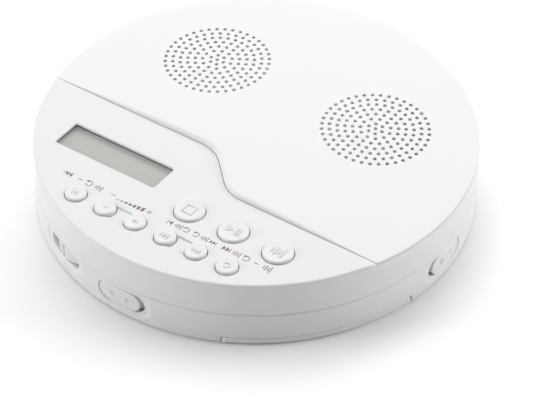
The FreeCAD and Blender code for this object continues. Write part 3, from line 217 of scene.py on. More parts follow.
SMALL_KEYS = KeyRow(-31.9, -63.6, 12.87, 4.15, {
    "repeat": "back_step", "slower": "minus", "faster": "plus", "previous": "previous", "next": "next",
    "skip": "loop"})
LARGE_KEYS = KeyRow(5.75, -48.2, 18.45, 5.75, {"stop": "stop", "play": "play_pause", "mode": "bars"})
KEYS: Tuple[KeyPlace, ...] = tuple(SMALL_KEYS.keys() + LARGE_KEYS.keys())
PAIRED_KEYS = ((KEYS[1], KEYS[2]), (KEYS[3], KEYS[4]))


# ---- Outlines ----
WELD = 0.001
STADIUM_SIDE = 2.2
SHARPEST_MITRE = 0.35
TURN_STEP = 1.5
BOX_ROOM = 0.2


def on_circle(r: float, angle: float, cx: float = 0.0, cy: float = 0.0) -> Plan:
    """Point on a circle.

    Args:
        r: Radius.
        angle: Angle from +X, in degrees.
        cx: Centre across.
        cy: Centre front to back.

    Returns:
        The point.
    """
    a = math.radians(angle)
    return cx + r * math.cos(a), cy + r * math.sin(a)


def arc(cx: float, cy: float, r: float, a0: float, a1: float, steps: int) -> List[Plan]:
    """Points along an arc, both ends included.

    Args:
        cx: Centre across.
        cy: Centre front to back.
        r: Radius.
        a0: First angle in degrees.
        a1: Last angle in degrees.
        steps: Number of steps.

    Returns:
        The points in order.
    """
    return [on_circle(r, a0 + (a1 - a0) * i / steps, cx, cy) for i in range(steps + 1)]


def circle(cx: float, cy: float, r: float, steps: int) -> List[Plan]:
    """Closed circle, anticlockwise, first point not repeated.

    Args:
        cx: Centre across.
        cy: Centre front to back.
        r: Radius.
        steps: Number of points.

    Returns:
        The points.
    """
    return arc(cx, cy, r, 0.0, 360.0, steps)[:-1]


def stadium(cx: float, cy: float, length: float, height: float, steps: int = 12) -> List[Plan]:
    """Closed slot outline with round ends, anticlockwise.

    Args:
        cx: Centre across.
        cy: Centre up.
        length: End to end.
        height: Side to side.
        steps: Steps in each end.

    Returns:
        The points.
    """
    r = height / 2
    reach = length / 2 - r
    points = arc(cx + reach, cy, r, -90, 90, steps) + arc(cx - reach, cy, r, 90, 270, steps)
    return densify(points, STADIUM_SIDE)


def rectangle(cx: float, cy: float, w: float, d: float) -> List[Plan]:
    """Closed rectangle with sharp corners, anticlockwise.

    Args:
        cx: Centre across.
        cy: Centre front to back.
        w: Width.
        d: Depth.

    Returns:
        Its four corners.
    """
    left, right, front, back = cx - w / 2, cx + w / 2, cy - d / 2, cy + d / 2
    return [(left, front), (right, front), (right, back), (left, back)]


def rounded_box(cx: float, cy: float, w: float, d: float, r: float, steps: int = 6) -> List[Plan]:
    """Closed rectangle with round corners, anticlockwise.

    Args:
        cx: Centre across.
        cy: Centre front to back.
        w: Width.
        d: Depth.
        r: Corner radius.
        steps: Steps in each corner.

    Returns:
        The points.
    """
    points: List[Plan] = []
    for sx, sy, a in ((1, 1, 0), (-1, 1, 90), (-1, -1, 180), (1, -1, 270)):
        points += arc(cx + sx * (w / 2 - r), cy + sy * (d / 2 - r), r, a, a + 90, steps)
    return points


def densify(points: Sequence[Plan], longest: float, closed: bool = True) -> List[Plan]:
    """Adds points so that no side is longer than a limit.

    Args:
        points: The outline.
        longest: Longest side allowed.
        closed: Whether the last point joins the first.

    Returns:
        The new outline.
    """
    made: List[Plan] = []
    count = len(points) if closed else len(points) - 1
    for i in range(count):
        a, b = points[i], points[(i + 1) % len(points)]
        parts = max(1, math.ceil(math.dist(a, b) / longest))
        made += [(a[0] + (b[0] - a[0]) * k / parts, a[1] + (b[1] - a[1]) * k / parts) for k in range(parts)]
    return made if closed else made + [points[-1]]


def stroke(points: Sequence[Plan], width: float) -> List[Plan]:
    """Closed outline of a line of one width.

    Args:
        points: The line's middle.
        width: Its width.

    Returns:
        The outline, anticlockwise.
    """
    left: List[Plan] = []
    right: List[Plan] = []
    for i, p in enumerate(points):
        a, b = points[max(i - 1, 0)], points[min(i + 1, len(points) - 1)]
        size = math.dist(a, b) or 1.0
        nx, ny = -(b[1] - a[1]) / size, (b[0] - a[0]) / size
        left.append((p[0] + nx * width / 2, p[1] + ny * width / 2))
        right.append((p[0] - nx * width / 2, p[1] - ny * width / 2))
    return right + left[::-1]


def offset_loop(points: Sequence[Plan], amounts: Sequence[float]) -> List[Plan]:
    """Moves each point of a closed anticlockwise outline outwards along its mitre.

    Args:
        points: The outline.
        amounts: Distance for each point; negative moves inwards.

    Returns:
        The moved outline.
    """
    moved: List[Plan] = []
    for i, p in enumerate(points):
        a, b = points[i - 1], points[(i + 1) % len(points)]
        n1 = side_normal(a, p)
        n2 = side_normal(p, b)
        scale = amounts[i] / max(SHARPEST_MITRE, 1 + n1[0] * n2[0] + n1[1] * n2[1])
        moved.append((p[0] + (n1[0] + n2[0]) * scale, p[1] + (n1[1] + n2[1]) * scale))
    return moved


def side_normal(a: Plan, b: Plan) -> Plan:
    """Outward normal of one side of an anticlockwise outline.

    Args:
        a: Start of the side.
        b: End of the side.

    Returns:
        A vector of length 1.
    """
    size = math.dist(a, b) or 1.0
    return (b[1] - a[1]) / size, -(b[0] - a[0]) / size


def inside(p: Plan, outline: Sequence[Plan]) -> bool:
    """Whether a point lies inside a closed outline.

    Args:
        p: The point.
        outline: The outline.

    Returns:
        True if it is inside.
    """
    x, y = p
    hit = False
    j = len(outline) - 1
    for i, (xi, yi) in enumerate(outline):
        xj, yj = outline[j]
        if (yi > y) != (yj > y) and x < (xj - xi) * (y - yi) / (yj - yi) + xi:
            hit = not hit
        j = i
    return hit


# ---- Mesh making ----
class Draft:
    """Vertices with their own normals, and faces, gathered in millimetres."""

    def __init__(self) -> None:
        """Starts an empty draft."""
        self.points: List[Point] = []
        self.normals: List[Point] = []
        self.faces: List[Tuple[int, ...]] = []
        self.zones: List[int] = []
        self.zone = 0

    def add(self, point: Point, normal: Point) -> int:
        """Adds a vertex.

        Args:
            point: Its place.
            normal: Its shading normal.

        Returns:
            The vertex number.
        """
        self.points.append(point)
        self.normals.append(normal)
        return len(self.points) - 1

    def face(self, *corners: int) -> None:
        """Adds a face, turned so that it faces the way its corners' normals point.

        Args:
            *corners: Vertex numbers in order round the face.
        """
        ring = [c for i, c in enumerate(corners) if c != corners[i - 1]]
        if len(ring) < 3:
            return
        a, b, c = (Vector(self.points[k]) for k in ring[:3])
        wanted = sum((Vector(self.normals[k]) for k in ring), Vector())
        if (b - a).cross(c - a).dot(wanted) < 0:
            ring.reverse()
        self.faces.append(tuple(ring))
        self.zones.append(self.zone)

    def strip(self, low: Sequence[int], high: Sequence[int], closed: bool) -> None:
        """Joins two rows of vertices with quads.

        Args:
            low: One row.
            high: The other row, as long.
            closed: Whether the rows' ends join.
        """
        count = len(low) if closed else len(low) - 1
        for i in range(count):
            j = (i + 1) % len(low)
            self.face(low[i], low[j], high[j], high[i])

    def mesh(self, name: str) -> bpy.types.Mesh:
        """Makes the mesh, in metres.

        Args:
            name: Mesh name.

        Returns:
            The mesh, shaded with the draft's own normals.
        """
        mesh = bpy.data.meshes.new(name)
        mesh.from_pydata([tuple(c * MM for c in p) for p in self.points], [], self.faces)
        mesh.polygons.foreach_set("use_smooth", [True] * len(mesh.polygons))
        mesh.polygons.foreach_set("material_index", self.zones)
        mesh.normals_split_custom_set_from_vertices([Vector(n).normalized() for n in self.normals])
        mesh.update()
        return mesh

    def build(self, name: str, body: str, slot: Optional[str] = None) -> bpy.types.Object:
        """Makes the object and lets it ride on its CAD body.

        Args:
            name: Object name.
            body: CAD body that it moves with.
            slot: Material slot of the record, if it has one; not used.

        Returns:
            The new object.
        """
        piece = bpy.data.objects.new(name, self.mesh(name))
        bpy.context.scene.collection.objects.link(piece)
        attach(piece, body)
        log.info("built %s: %d faces on body %s", name, len(self.faces), body)
        return piece


@dataclass
class Edge:
    """A closed outline of a sheet with its rounding and the depth of its wall.

    Spread is how much wider the rounding is than it is deep.
    """

    points: List[Plan]
    fillet: float = 0.25
    drop: float = 1.0
    fillets: Optional[List[float]] = None
    drops: Optional[List[float]] = None
    rings: int = 3
    spread: float = 1.0

    def sizes(self) -> Tuple[List[float], List[float]]:
        """Rounding and wall depth for each point.

        Returns:
            Both lists, as long as the outline.
        """
        count = len(self.points)
        return self.fillets or [self.fillet] * count, self.drops or [self.drop] * count


class Sheet:
    """A moulded wall: a smooth face with rounded outer edge and rounded holes, bent by a warp."""

    def __init__(self, draft: Draft, warp: Warp, outer: Edge, holes: Iterable[Edge] = ()) -> None:
        """Keeps what the sheet is made of.

        Args:
            draft: Draft that takes the faces.
            warp: Places a point of the plan in space.
            outer: Outer edge.
            holes: Edges of the holes.
        """
        self.draft = draft
        self.warp = warp
        self.outer = outer
        self.holes = list(holes)

    def normal(self, u: float, v: float, side: Plan, tilt: float) -> Point:
        """Shading normal at a place, leaning from the face's normal to the side by a tilt.

        Args:
            u: First plan coordinate.
            v: Second plan coordinate.
            side: Direction in the plan that the wall faces.
            tilt: 0 on the face, 90 on the wall.

        Returns:
            The normal.
        """
        step = 0.05
        here = Vector(self.warp(u, v, 0.0))
        du = Vector(self.warp(u + step, v, 0.0)) - here
        dv = Vector(self.warp(u, v + step, 0.0)) - here
        up = here - Vector(self.warp(u, v, step))
        face = du.cross(dv)
        if face.dot(up) < 0:
            face.negate()
        along = du.normalized() * side[0] + dv.normalized() * side[1]
        a = math.radians(tilt)
        if not tilt:
            return tuple(face)
        return tuple(face.normalized() * math.cos(a) + along.normalized() * math.sin(a))

    def edge_rows(self, edge: Edge, sign: int) -> Tuple[List[int], List[Plan]]:
        """Makes an outline's rounding and wall.

        Args:
            edge: The outline.
            sign: 1 for the outer edge, -1 for a hole.

        Returns:
            The row of vertices on the face, and their plan places.
        """
        fillets, drops = edge.sizes()
        rows: List[List[int]] = []
        count = len(edge.points)
        sides = []
        for i, p in enumerate(edge.points):
            n1, n2 = side_normal(edge.points[i - 1], p), side_normal(p, edge.points[(i + 1) % count])
            size = math.hypot(n1[0] + n2[0], n1[1] + n2[1]) or 1.0
            sides.append((sign * (n1[0] + n2[0]) / size, sign * (n1[1] + n2[1]) / size))
        top: List[Plan] = []
        for k in range(edge.rings + 1):
            a = math.radians(90.0 * k / edge.rings)
            tilt = math.degrees(math.atan2(math.sin(a), edge.spread * math.cos(a)))
            plan = offset_loop(edge.points, [-sign * edge.spread * f * (1 - math.sin(a)) for f in fillets])
            row = []
            for i, (u, v) in enumerate(plan):
                lean = tilt if fillets[i] > 0 or k == edge.rings else 0.0
                place = self.warp(u, v, fillets[i] * (1 - math.cos(a)))
                row.append(self.draft.add(place, self.normal(u, v, sides[i], lean)))
            rows.append(row)
            top = top or plan
        floor = []
        for i, (u, v) in enumerate(edge.points):
            floor.append(self.draft.add(self.warp(u, v, drops[i]), self.normal(u, v, sides[i], 90.0)))
        rows.append(floor)
        for low, high in zip(rows, rows[1:]):
            for i in range(count):
                j = (i + 1) % count
                if drops[i] > 0 or drops[j] > 0:
                    self.draft.face(low[i], low[j], high[j], high[i])
        return rows[0], top

    def make(self, grid: Sequence[Plan] = ()) -> None:
        """Makes the edges and fills the face between them.

        Args:
            grid: Extra plan points inside the face.
        """
        ids: List[int] = []
        plan: List[Plan] = []
        owner: List[int] = []
        sides: List[Tuple[int, int]] = []
        outlines: List[List[Plan]] = []
        for n, (edge, sign) in enumerate([(self.outer, 1)] + [(h, -1) for h in self.holes]):
            row, top = self.edge_rows(edge, sign)
            start = len(plan)
            ids += row
            plan += top
            owner += [n] * len(top)
            outlines.append(top)
            sides += [(start + i, start + (i + 1) % len(top)) for i in range(len(top))]
        boxes = [loop_box(o) for o in outlines[1:]]
        for p in grid:
            in_hole = any(in_box(p, b) and inside(p, o) for b, o in zip(boxes, outlines[1:]))
            if in_hole or not inside(p, outlines[0]):
                continue
            ids.append(self.draft.add(self.warp(p[0], p[1], 0.0), self.normal(p[0], p[1], (0, 0), 0.0)))
            plan.append(p)
            owner.append(-1)
        made = geometry.delaunay_2d_cdt([Vector(p) for p in plan], sides, [], 0, 1e-6)
        source = [o[0] if o else -1 for o in made[3]]
        for tri in made[2]:
            corners = [source[k] for k in tri]
            if min(corners) < 0:
                continue
            own = {owner[k] for k in corners}
            if len(own) == 1 and -1 not in own:
                n = own.pop()
                mid = (sum(plan[k][0] for k in corners) / 3, sum(plan[k][1] for k in corners) / 3)
                if inside(mid, outlines[n]) != (n == 0):
                    continue
            self.draft.face(*(ids[k] for k in corners))


def loop_box(points: Sequence[Plan]) -> Tuple[float, float, float, float]:
    """Box round an outline with a little room.

    Args:
        points: The outline.

    Returns:
        Low and high corners as four numbers.
    """
    xs, ys = [p[0] for p in points], [p[1] for p in points]
    return min(xs) - BOX_ROOM, min(ys) - BOX_ROOM, max(xs) + BOX_ROOM, max(ys) + BOX_ROOM


def in_box(p: Plan, box: Tuple[float, float, float, float]) -> bool:
    """Whether a point is in a box.

    Args:
        p: The point.
        box: Low and high corners.

    Returns:
        True if it is.
    """
    return box[0] <= p[0] <= box[2] and box[1] <= p[1] <= box[3]


@dataclass(frozen=True)
class Axis:
    """A turning axis for lathe work: a point on it, its direction and the direction of angle 0."""

    origin: Point = (0.0, 0.0, 0.0)
    along: Point = (0.0, 0.0, 1.0)
    start: Point = (0.0, -1.0, 0.0)

    def place(self, r: float, h: float, angle: float) -> Point:
        """Point at a radius, a height along the axis and an angle.

        Args:
            r: Radius.
            h: Height.
            angle: Angle in degrees.

        Returns:
            The point.
        """
        return tuple(Vector(self.origin) + self.direction(r, h, angle))

    def direction(self, r: float, h: float, angle: float) -> Vector:
        """The same without the origin.

        Args:
            r: Radial part.
            h: Part along the axis.
            angle: Angle in degrees.

        Returns:
            A vector.
        """
        w, s = Vector(self.along), Vector(self.start)
        a = math.radians(angle)
        return (s * math.cos(a) + w.cross(s) * math.sin(a)) * r + w * h


@dataclass(frozen=True)
class Node:
    """A profile point with its normal: radius, height, normal's radial part and part along the axis."""

    r: float
    h: float
    nr: float
    nh: float


def straight(r0: float, h0: float, r1: float, h1: float) -> List[Node]:
    """A straight stretch of profile, its outside to the right of its direction.

    Args:
        r0: First radius.
        h0: First height.
        r1: Last radius.
        h1: Last height.

    Returns:
        Two profile points.
    """
    size = math.hypot(r1 - r0, h1 - h0) or 1.0
    nr, nh = (h1 - h0) / size, -(r1 - r0) / size
    return [Node(r0, h0, nr, nh), Node(r1, h1, nr, nh)]


def bend(cr: float, ch: float, r: float, a0: float, a1: float, steps: int = 5) -> List[Node]:
    """A round stretch of profile.

    Args:
        cr: Centre radius.
        ch: Centre height.
        r: Bend radius.
        a0: First angle in degrees, 0 pointing outwards.
        a1: Last angle.
        steps: Number of steps.

    Returns:
        The profile points.
    """
    nodes = []
    for i in range(steps + 1):
        a = math.radians(a0 + (a1 - a0) * i / steps)
        nodes.append(Node(cr + r * math.cos(a), ch + r * math.sin(a), math.cos(a), math.sin(a)))
    return nodes


def lathe(draft: Draft, parts: Iterable[Sequence[Node]], axis: Axis = Axis(),
          angles: Optional[Sequence[float]] = None, steps: int = 96) -> None:
    """Turns profile stretches round an axis.

    Args:
        draft: Draft that takes the faces.
        parts: Stretches of profile; corners between them stay crisp.
        axis: The turning axis.
        angles: Angles for a part turn; a full turn if left out.
        steps: Steps of a full turn.
    """
    closed = angles is None
    turn = [360.0 * i / steps for i in range(steps)] if closed else list(angles)
    for part in parts:
        rows = []
        for node in part:
            row = []
            for a in turn:
                normal = axis.direction(node.nr, node.nh, a)
                row.append(draft.add(axis.place(node.r, node.h, a), tuple(normal)))
            rows.append(row)
        for low, high in zip(rows, rows[1:]):
            draft.strip(low, high, closed)


# ---- Materials ----
BUMP_DEPTH = 0.0001
SOCKET_OF_SIZE = {1: "NodeSocketFloat", 3: "NodeSocketVector", 4: "NodeSocketColor"}


class Wiring:
    """Short hand for making and joining shader nodes in one tree."""

    def __init__(self, tree: bpy.types.NodeTree) -> None:
        """Takes the tree that the nodes go into."""
        self.tree = tree

    def add(self, kind: str, values: Optional[Dict[Any, Any]] = None, **settings: Any) -> bpy.types.Node:
        """Adds a node.

        Args:
            kind: Node type.
            values: Input name or number to a constant or an output socket.
            **settings: Attributes of the node.

        Returns:
            The node.
        """
        node = self.tree.nodes.new(kind)
        for key, value in settings.items():
            setattr(node, key, value)
        for key, value in (values or {}).items():
            if isinstance(value, bpy.types.NodeSocket):
                self.tree.links.new(value, node.inputs[key])
            else:
                node.inputs[key].default_value = value
        return node

    def group(self, group: bpy.types.NodeTree, values: Dict[str, Any]) -> bpy.types.Node:
        """Adds a node group.

        Args:
            group: The group.
            values: Input name to a constant or an output socket.

        Returns:
            The group's node.
        """
        return self.add("ShaderNodeGroup", values, node_tree=group)

    def math(self, operation: str, *values: Any) -> bpy.types.NodeSocket:
        """Adds a sum, product or other step of arithmetic.

        Args:
            operation: Its name.
            *values: Constants or output sockets.

        Returns:
            The result's socket.
        """
        return self.add("ShaderNodeMath", dict(enumerate(values)), operation=operation).outputs[0]

    def ramp(self, value: bpy.types.NodeSocket, span: Tuple[float, float],
             reach: Tuple[float, float] = (0.0, 1.0), **settings: Any) -> bpy.types.NodeSocket:
        """Maps a value from one span onto another and holds it there.

        Args:
            value: The value's socket.
            span: Low and high end of what comes in.
            reach: What the two ends become.
            **settings: Attributes of the node.

        Returns:
            The result's socket.
        """
        ends = {"From Min": span[0], "From Max": span[1], "To Min": reach[0], "To Max": reach[1]}
        return self.add("ShaderNodeMapRange", {"Value": value, **ends}, **settings).outputs[0]

    def mix(self, mask: bpy.types.NodeSocket, first: Any, second: Any) -> bpy.types.NodeSocket:
        """Mixes two colours.

        Args:
            mask: 0 for the first, 1 for the second.
            first: Colour or output socket.
            second: Colour or output socket.

        Returns:
            The mixed colour's socket.
        """
        node = self.add("ShaderNodeMix", {"Factor": mask}, data_type="RGBA")
        for socket, value in zip((node.inputs[6], node.inputs[7]), (first, second)):
            if isinstance(value, bpy.types.NodeSocket):
                self.tree.links.new(value, socket)
            else:
                socket.default_value = (*value, 1.0)
        return node.outputs[2]

    def place(self) -> bpy.types.NodeSocket:
        """Socket of the place on the object, in metres."""
        return self.add("ShaderNodeTexCoord").outputs["Object"]

    def noise(self, scale: Any, detail: float) -> bpy.types.NodeSocket:
        """Adds noise over the object.

        Args:
            scale: Its fineness, as a constant or an output socket.
            detail: Its number of finer layers.

        Returns:
            The noise's socket.
        """
        values = {"Vector": self.place(), "Scale": scale, "Detail": detail}
        return self.add("ShaderNodeTexNoise", values).outputs["Fac"]

    def bump(self, strength: Any, height: bpy.types.NodeSocket, **values: Any) -> bpy.types.NodeSocket:
        """Turns a height into a normal.

        Args:
            strength: How much of it shows, as a constant or an output socket.
            height: The height's socket.
            **values: The other inputs, Normal and Distance.

        Returns:
            The normal's socket.
        """
        inputs = {"Strength": strength, "Height": height, "Distance": BUMP_DEPTH, **values}
        return self.add("ShaderNodeBump", inputs).outputs["Normal"]

    def principled(self, values: Dict[str, Any]) -> bpy.types.NodeSocket:
        """Adds the surface shader.

        Args:
            values: Input name to a constant or an output socket.

        Returns:
            The shader's socket.
        """
        return self.add("ShaderNodeBsdfPrincipled", values).outputs["BSDF"]


def new_group(name: str, inputs: Dict[str, Any], outputs: Dict[str, str]) -> Tuple[Wiring, Any, Any]:
    """Makes an empty node group with its sockets.

    Args:
        name: Group name.
        inputs: Name of each input to its default: a number, a normal of three or a colour of four.
        outputs: Name of each output to its socket type.

    Returns:
        The wiring, the group's input node and its output node.
    """
    tree = bpy.data.node_groups.new(name, "ShaderNodeTree")
    for label, value in inputs.items():
        size = len(value) if isinstance(value, tuple) else 1
        socket = tree.interface.new_socket(name=label, in_out="INPUT", socket_type=SOCKET_OF_SIZE[size])
        socket.default_value = value
    for label, kind in outputs.items():
        tree.interface.new_socket(name=label, in_out="OUTPUT", socket_type=kind)
    wires = Wiring(tree)
    return wires, wires.add("NodeGroupInput"), wires.add("NodeGroupOutput")


class Effects:
    """Node groups that several materials share."""

    def __init__(self) -> None:
        """Makes each group once."""
        self.grain = self.make_grain()
        self.tone = self.make_tone()
        self.soft_edge = self.make_soft_edge()

    @staticmethod
    def make_grain() -> bpy.types.NodeTree:
        """Fine moulded or cast grain: a normal and a roughness.

        Returns:
            The group.
        """
        wires, source, sink = new_group(
            "fine_grain",
            {"Scale": 2500.0, "Depth": 0.1, "Roughness": 0.4, "Spread": 0.05, "Normal": (0.0, 0.0, 0.0)},
            {"Normal": "NodeSocketVector", "Roughness": "NodeSocketFloat"},
        )
        given = source.outputs
        bump = wires.bump(given["Depth"], wires.noise(given["Scale"], 3.0), Normal=given["Normal"])
        swing = wires.math("SUBTRACT", wires.noise(60.0, 4.0), 0.5)
        rough = wires.math("MULTIPLY_ADD", swing, given["Spread"], given["Roughness"])
        wires.tree.links.new(bump, sink.inputs["Normal"])
        wires.tree.links.new(rough, sink.inputs["Roughness"])
        return wires.tree

    @staticmethod
    def make_tone() -> bpy.types.NodeTree:
        """A slow, slight unevenness of a colour.

        Returns:
            The group.
        """
        wires, source, sink = new_group(
            "slow_tone",
            {"Color": (0.8, 0.8, 0.8, 1.0), "Amount": 0.02, "Scale": 25.0},
            {"Color": "NodeSocketColor"},
        )
        given = source.outputs
        swing = wires.math("SUBTRACT", wires.noise(given["Scale"], 2.0), 0.5)
        level = wires.math("MULTIPLY_ADD", swing, given["Amount"], 1.0)
        toned = wires.add("ShaderNodeHueSaturation", {"Value": level, "Color": given["Color"]})
        wires.tree.links.new(toned.outputs["Color"], sink.inputs["Color"])
        return wires.tree

    @staticmethod
    def make_soft_edge() -> bpy.types.NodeTree:
        """Catches light on the crisp corners of a machined or moulded piece.

        Returns:
            The group.
        """
        wires, source, sink = new_group("soft_edge", {"Radius": 0.0002}, {"Normal": "NodeSocketVector"})
        bevel = wires.add("ShaderNodeBevel", {"Radius": source.outputs["Radius"]}, samples=4)
        wires.tree.links.new(bevel.outputs["Normal"], sink.inputs["Normal"])
        return wires.tree


class Edges(Enum):
    """Whether a finish softens crisp corners when it is shaded."""

    MODELLED = 0.0
    SOFTENED = 0.00025


@dataclass(frozen=True)
class Finish:
    """A surface finish; subclasses add their own nodes."""

    name: str
    colour: Colour
    roughness: float = 0.4
    edges: Edges = Edges.SOFTENED

    def make(self, effects: Effects) -> bpy.types.Material:
        """Makes the material.

        Args:
            effects: Shared node groups.

        Returns:
            The material.
        """
        material = bpy.data.materials.new(self.name)
        material.use_nodes = True
        material.node_tree.nodes.clear()
        wires = Wiring(material.node_tree)
        out = wires.add("ShaderNodeOutputMaterial")
        wires.tree.links.new(self.shade(wires, effects), out.inputs["Surface"])
        return material

    def shade(self, wires: Wiring, effects: Effects) -> bpy.types.NodeSocket:
        """Makes the shader.

        Args:
            wires: The material's wiring.
            effects: Shared node groups.

        Returns:
            The shader's output socket.
        """
        raise NotImplementedError

    def toned(self, wires: Wiring, effects: Effects, amount: float, scale: float) -> bpy.types.NodeSocket:
        """The finish's colour with a slight unevenness.

        Args:
            wires: The material's wiring.
            effects: Shared node groups.
            amount: How uneven it is.
            scale: How fine the unevenness is.

        Returns:
            A colour socket.
        """
        values = {"Color": (*self.colour, 1.0), "Amount": amount, "Scale": scale}
        return wires.group(effects.tone, values).outputs["Color"]

    def corner_normal(self, wires: Wiring, effects: Effects) -> bpy.types.NodeSocket:
        """Normal with softened corners, or the plain one.

        Args:
            wires: The material's wiring.
            effects: Shared node groups.

        Returns:
            A normal socket.
        """
        if self.edges is Edges.MODELLED:
            return wires.add("ShaderNodeNewGeometry").outputs["Normal"]
        return wires.group(effects.soft_edge, {"Radius": self.edges.value}).outputs["Normal"]


@dataclass(frozen=True)
class Plastic(Finish):
    """Moulded plastic with fine grain and a slight unevenness of tone."""

    grain_scale: float = 2500.0
    grain_depth: float = 0.05
    spread: float = 0.04
    tone: float = 0.01
    specular: float = 0.5
    glow: float = 0.0

    def shade(self, wires: Wiring, effects: Effects) -> bpy.types.NodeSocket:
        """Makes the shader.

        Args:
            wires: The material's wiring.
            effects: Shared node groups.

        Returns:
            The shader's output socket.
        """
        grain = wires.group(effects.grain, {
            "Scale": self.grain_scale, "Depth": self.grain_depth, "Roughness": self.roughness,
            "Spread": self.spread, "Normal": self.corner_normal(wires, effects)})
        return wires.principled({
            "Base Color": self.toned(wires, effects, self.tone, 25.0),
            "Roughness": grain.outputs["Roughness"],
            "Normal": grain.outputs["Normal"], "Specular IOR Level": self.specular,
            "Subsurface Weight": self.glow, "Subsurface Radius": (0.002, 0.0018, 0.0016),
            "Subsurface Scale": 0.5})


@dataclass(frozen=True)
class Metal(Finish):
    """Turned, ground or plated metal with fine scratches round or along it."""

    stretch: Point = (40.0, 40.0, 1200.0)
    depth: float = 0.08

    def shade(self, wires: Wiring, effects: Effects) -> bpy.types.NodeSocket:
        """Makes the shader.

        Args:
            wires: The material's wiring.
            effects: Shared node groups.

        Returns:
            The shader's output socket.
        """
        drawn = wires.add("ShaderNodeMapping", {"Vector": wires.place(), "Scale": self.stretch})
        lines = wires.add("ShaderNodeTexNoise", {"Vector": drawn.outputs[0], "Scale": 1.0, "Detail": 5.0})
        height = lines.outputs["Fac"]
        rough = wires.ramp(height, (0.0, 1.0), (self.roughness * 0.7, self.roughness * 1.4))
        bump = wires.bump(self.depth, height, Normal=self.corner_normal(wires, effects))
        return wires.principled({
            "Base Color": self.toned(wires, effects, 0.06, 90.0), "Metallic": 1.0, "Roughness": rough,
            "Normal": bump})


@dataclass(frozen=True)
class Clear(Finish):
    """Clear window: a thin reflective skin that lets light and shadow rays through."""

    mirror: float = 1.0

    def shade(self, wires: Wiring, effects: Effects) -> bpy.types.NodeSocket:
        """Makes the shader.

        Args:
            wires: The material's wiring.
            effects: Shared node groups; not used.

        Returns:
            The shader's output socket.
        """
        fresnel = wires.add("ShaderNodeFresnel", {"IOR": 1.49}).outputs[0]
        back = wires.add("ShaderNodeNewGeometry").outputs["Backfacing"]
        gain = wires.math("MULTIPLY", fresnel, wires.ramp(back, (0.0, 1.0), (self.mirror, 0.0)))
        through = wires.add("ShaderNodeBsdfTransparent", {"Color": (*self.colour, 1.0)}).outputs[0]
        gloss = {"Color": WHITE_LIGHT, "Roughness": self.roughness}
        shine = wires.add("ShaderNodeBsdfGlossy", gloss).outputs[0]
        skin = wires.add("ShaderNodeMixShader", {0: gain, 1: through, 2: shine}).outputs[0]
        shadow = wires.add("ShaderNodeLightPath").outputs["Is Shadow Ray"]
        free = wires.add("ShaderNodeBsdfTransparent", {"Color": WHITE_LIGHT}).outputs[0]
        return wires.add("ShaderNodeMixShader", {0: shadow, 1: skin, 2: free}).outputs[0]


@dataclass(frozen=True)
class LiquidCrystal(Finish):
    """Reflective display cell, grey-green, with painted shade that darkens it towards its frame."""

    # Painted shade: the colour along the frame, where the window's walls shade the cell, and how far in from
    # the frame it starts and where it is full.
    rim: Colour = (0.3, 0.3, 0.27)
    rim_from: float = 1.1
    rim_to: float = 0.3

    def shade(self, wires: Wiring, effects: Effects) -> bpy.types.NodeSocket:
        """Makes the shader.

        Args:
            wires: The material's wiring.
            effects: Shared node groups.

        Returns:
            The shader's output socket.
        """
        x, y, width, depth = LAYOUT.display
        centre = (x * MM, y * MM, 0.0)
        local = wires.add("ShaderNodeVectorMath", {0: wires.place(), 1: centre}, operation="SUBTRACT")
        parts = wires.add("ShaderNodeSeparateXYZ", {0: local.outputs[0]})
        frame_shade_masks = []
        for axis, half in (("X", width / 2), ("Y", depth / 2)):
            away = wires.math("ABSOLUTE", parts.outputs[axis])
            frame_shade_masks.append(wires.ramp(away, ((half - self.rim_from) * MM, (half - self.rim_to) * MM)))
        # Painted shade: the cell's colour turns darker near the frame on all four sides.
        colour = wires.mix(wires.math("MAXIMUM", *frame_shade_masks), self.toned(wires, effects, 0.08, 30.0), self.rim)
        return wires.principled({
            "Base Color": colour, "Roughness": self.roughness, "Specular IOR Level": 0.4})


@dataclass(frozen=True)
class Laminate(Finish):
    """Circuit board: green lacquer over faint copper tracks."""

    copper: Colour = (0.16, 0.42, 0.22)
    track_depth: float = 0.00005

    def shade(self, wires: Wiring, effects: Effects) -> bpy.types.NodeSocket:
        """Makes the shader.

        Args:
            wires: The material's wiring.
            effects: Shared node groups.

        Returns:
            The shader's output socket.
        """
        tracks = wires.add("ShaderNodeTexBrick", {
            "Vector": wires.place(), "Scale": 180.0, "Mortar Size": 0.08, "Brick Width": 2.2,
            "Row Height": 0.35}).outputs["Fac"]
        bump = wires.add("ShaderNodeBump", {
            "Strength": 0.2, "Distance": self.track_depth, "Height": tracks,
            "Normal": self.corner_normal(wires, effects)}, invert=True)
        return wires.principled({
            "Base Color": wires.mix(tracks, self.copper, self.colour), "Roughness": self.roughness,
            "Normal": bump.outputs["Normal"], "Coat Weight": 0.4})


@dataclass(frozen=True)
class Jacket(Finish):
    """Battery can: a printed jacket with one lighter end band."""

    band: Colour = (0.75, 0.62, 0.3)
    along: Point = (0.620, 0.784, 0.0)
    split: float = 0.012

    def shade(self, wires: Wiring, effects: Effects) -> bpy.types.NodeSocket:
        """Makes the shader.

        Args:
            wires: The material's wiring.
            effects: Shared node groups.

        Returns:
            The shader's output socket.
        """
        reach = wires.add("ShaderNodeVectorMath", {0: wires.place(), 1: self.along}, operation="DOT_PRODUCT")
        mask = wires.math("GREATER_THAN", reach.outputs["Value"], self.split)
        values = {"Color": wires.mix(mask, self.colour, self.band), "Amount": 0.05}
        tone = wires.group(effects.tone, values).outputs["Color"]
        return wires.principled({
            "Base Color": tone, "Metallic": 0.6, "Roughness": self.roughness,
            "Normal": self.corner_normal(wires, effects)})


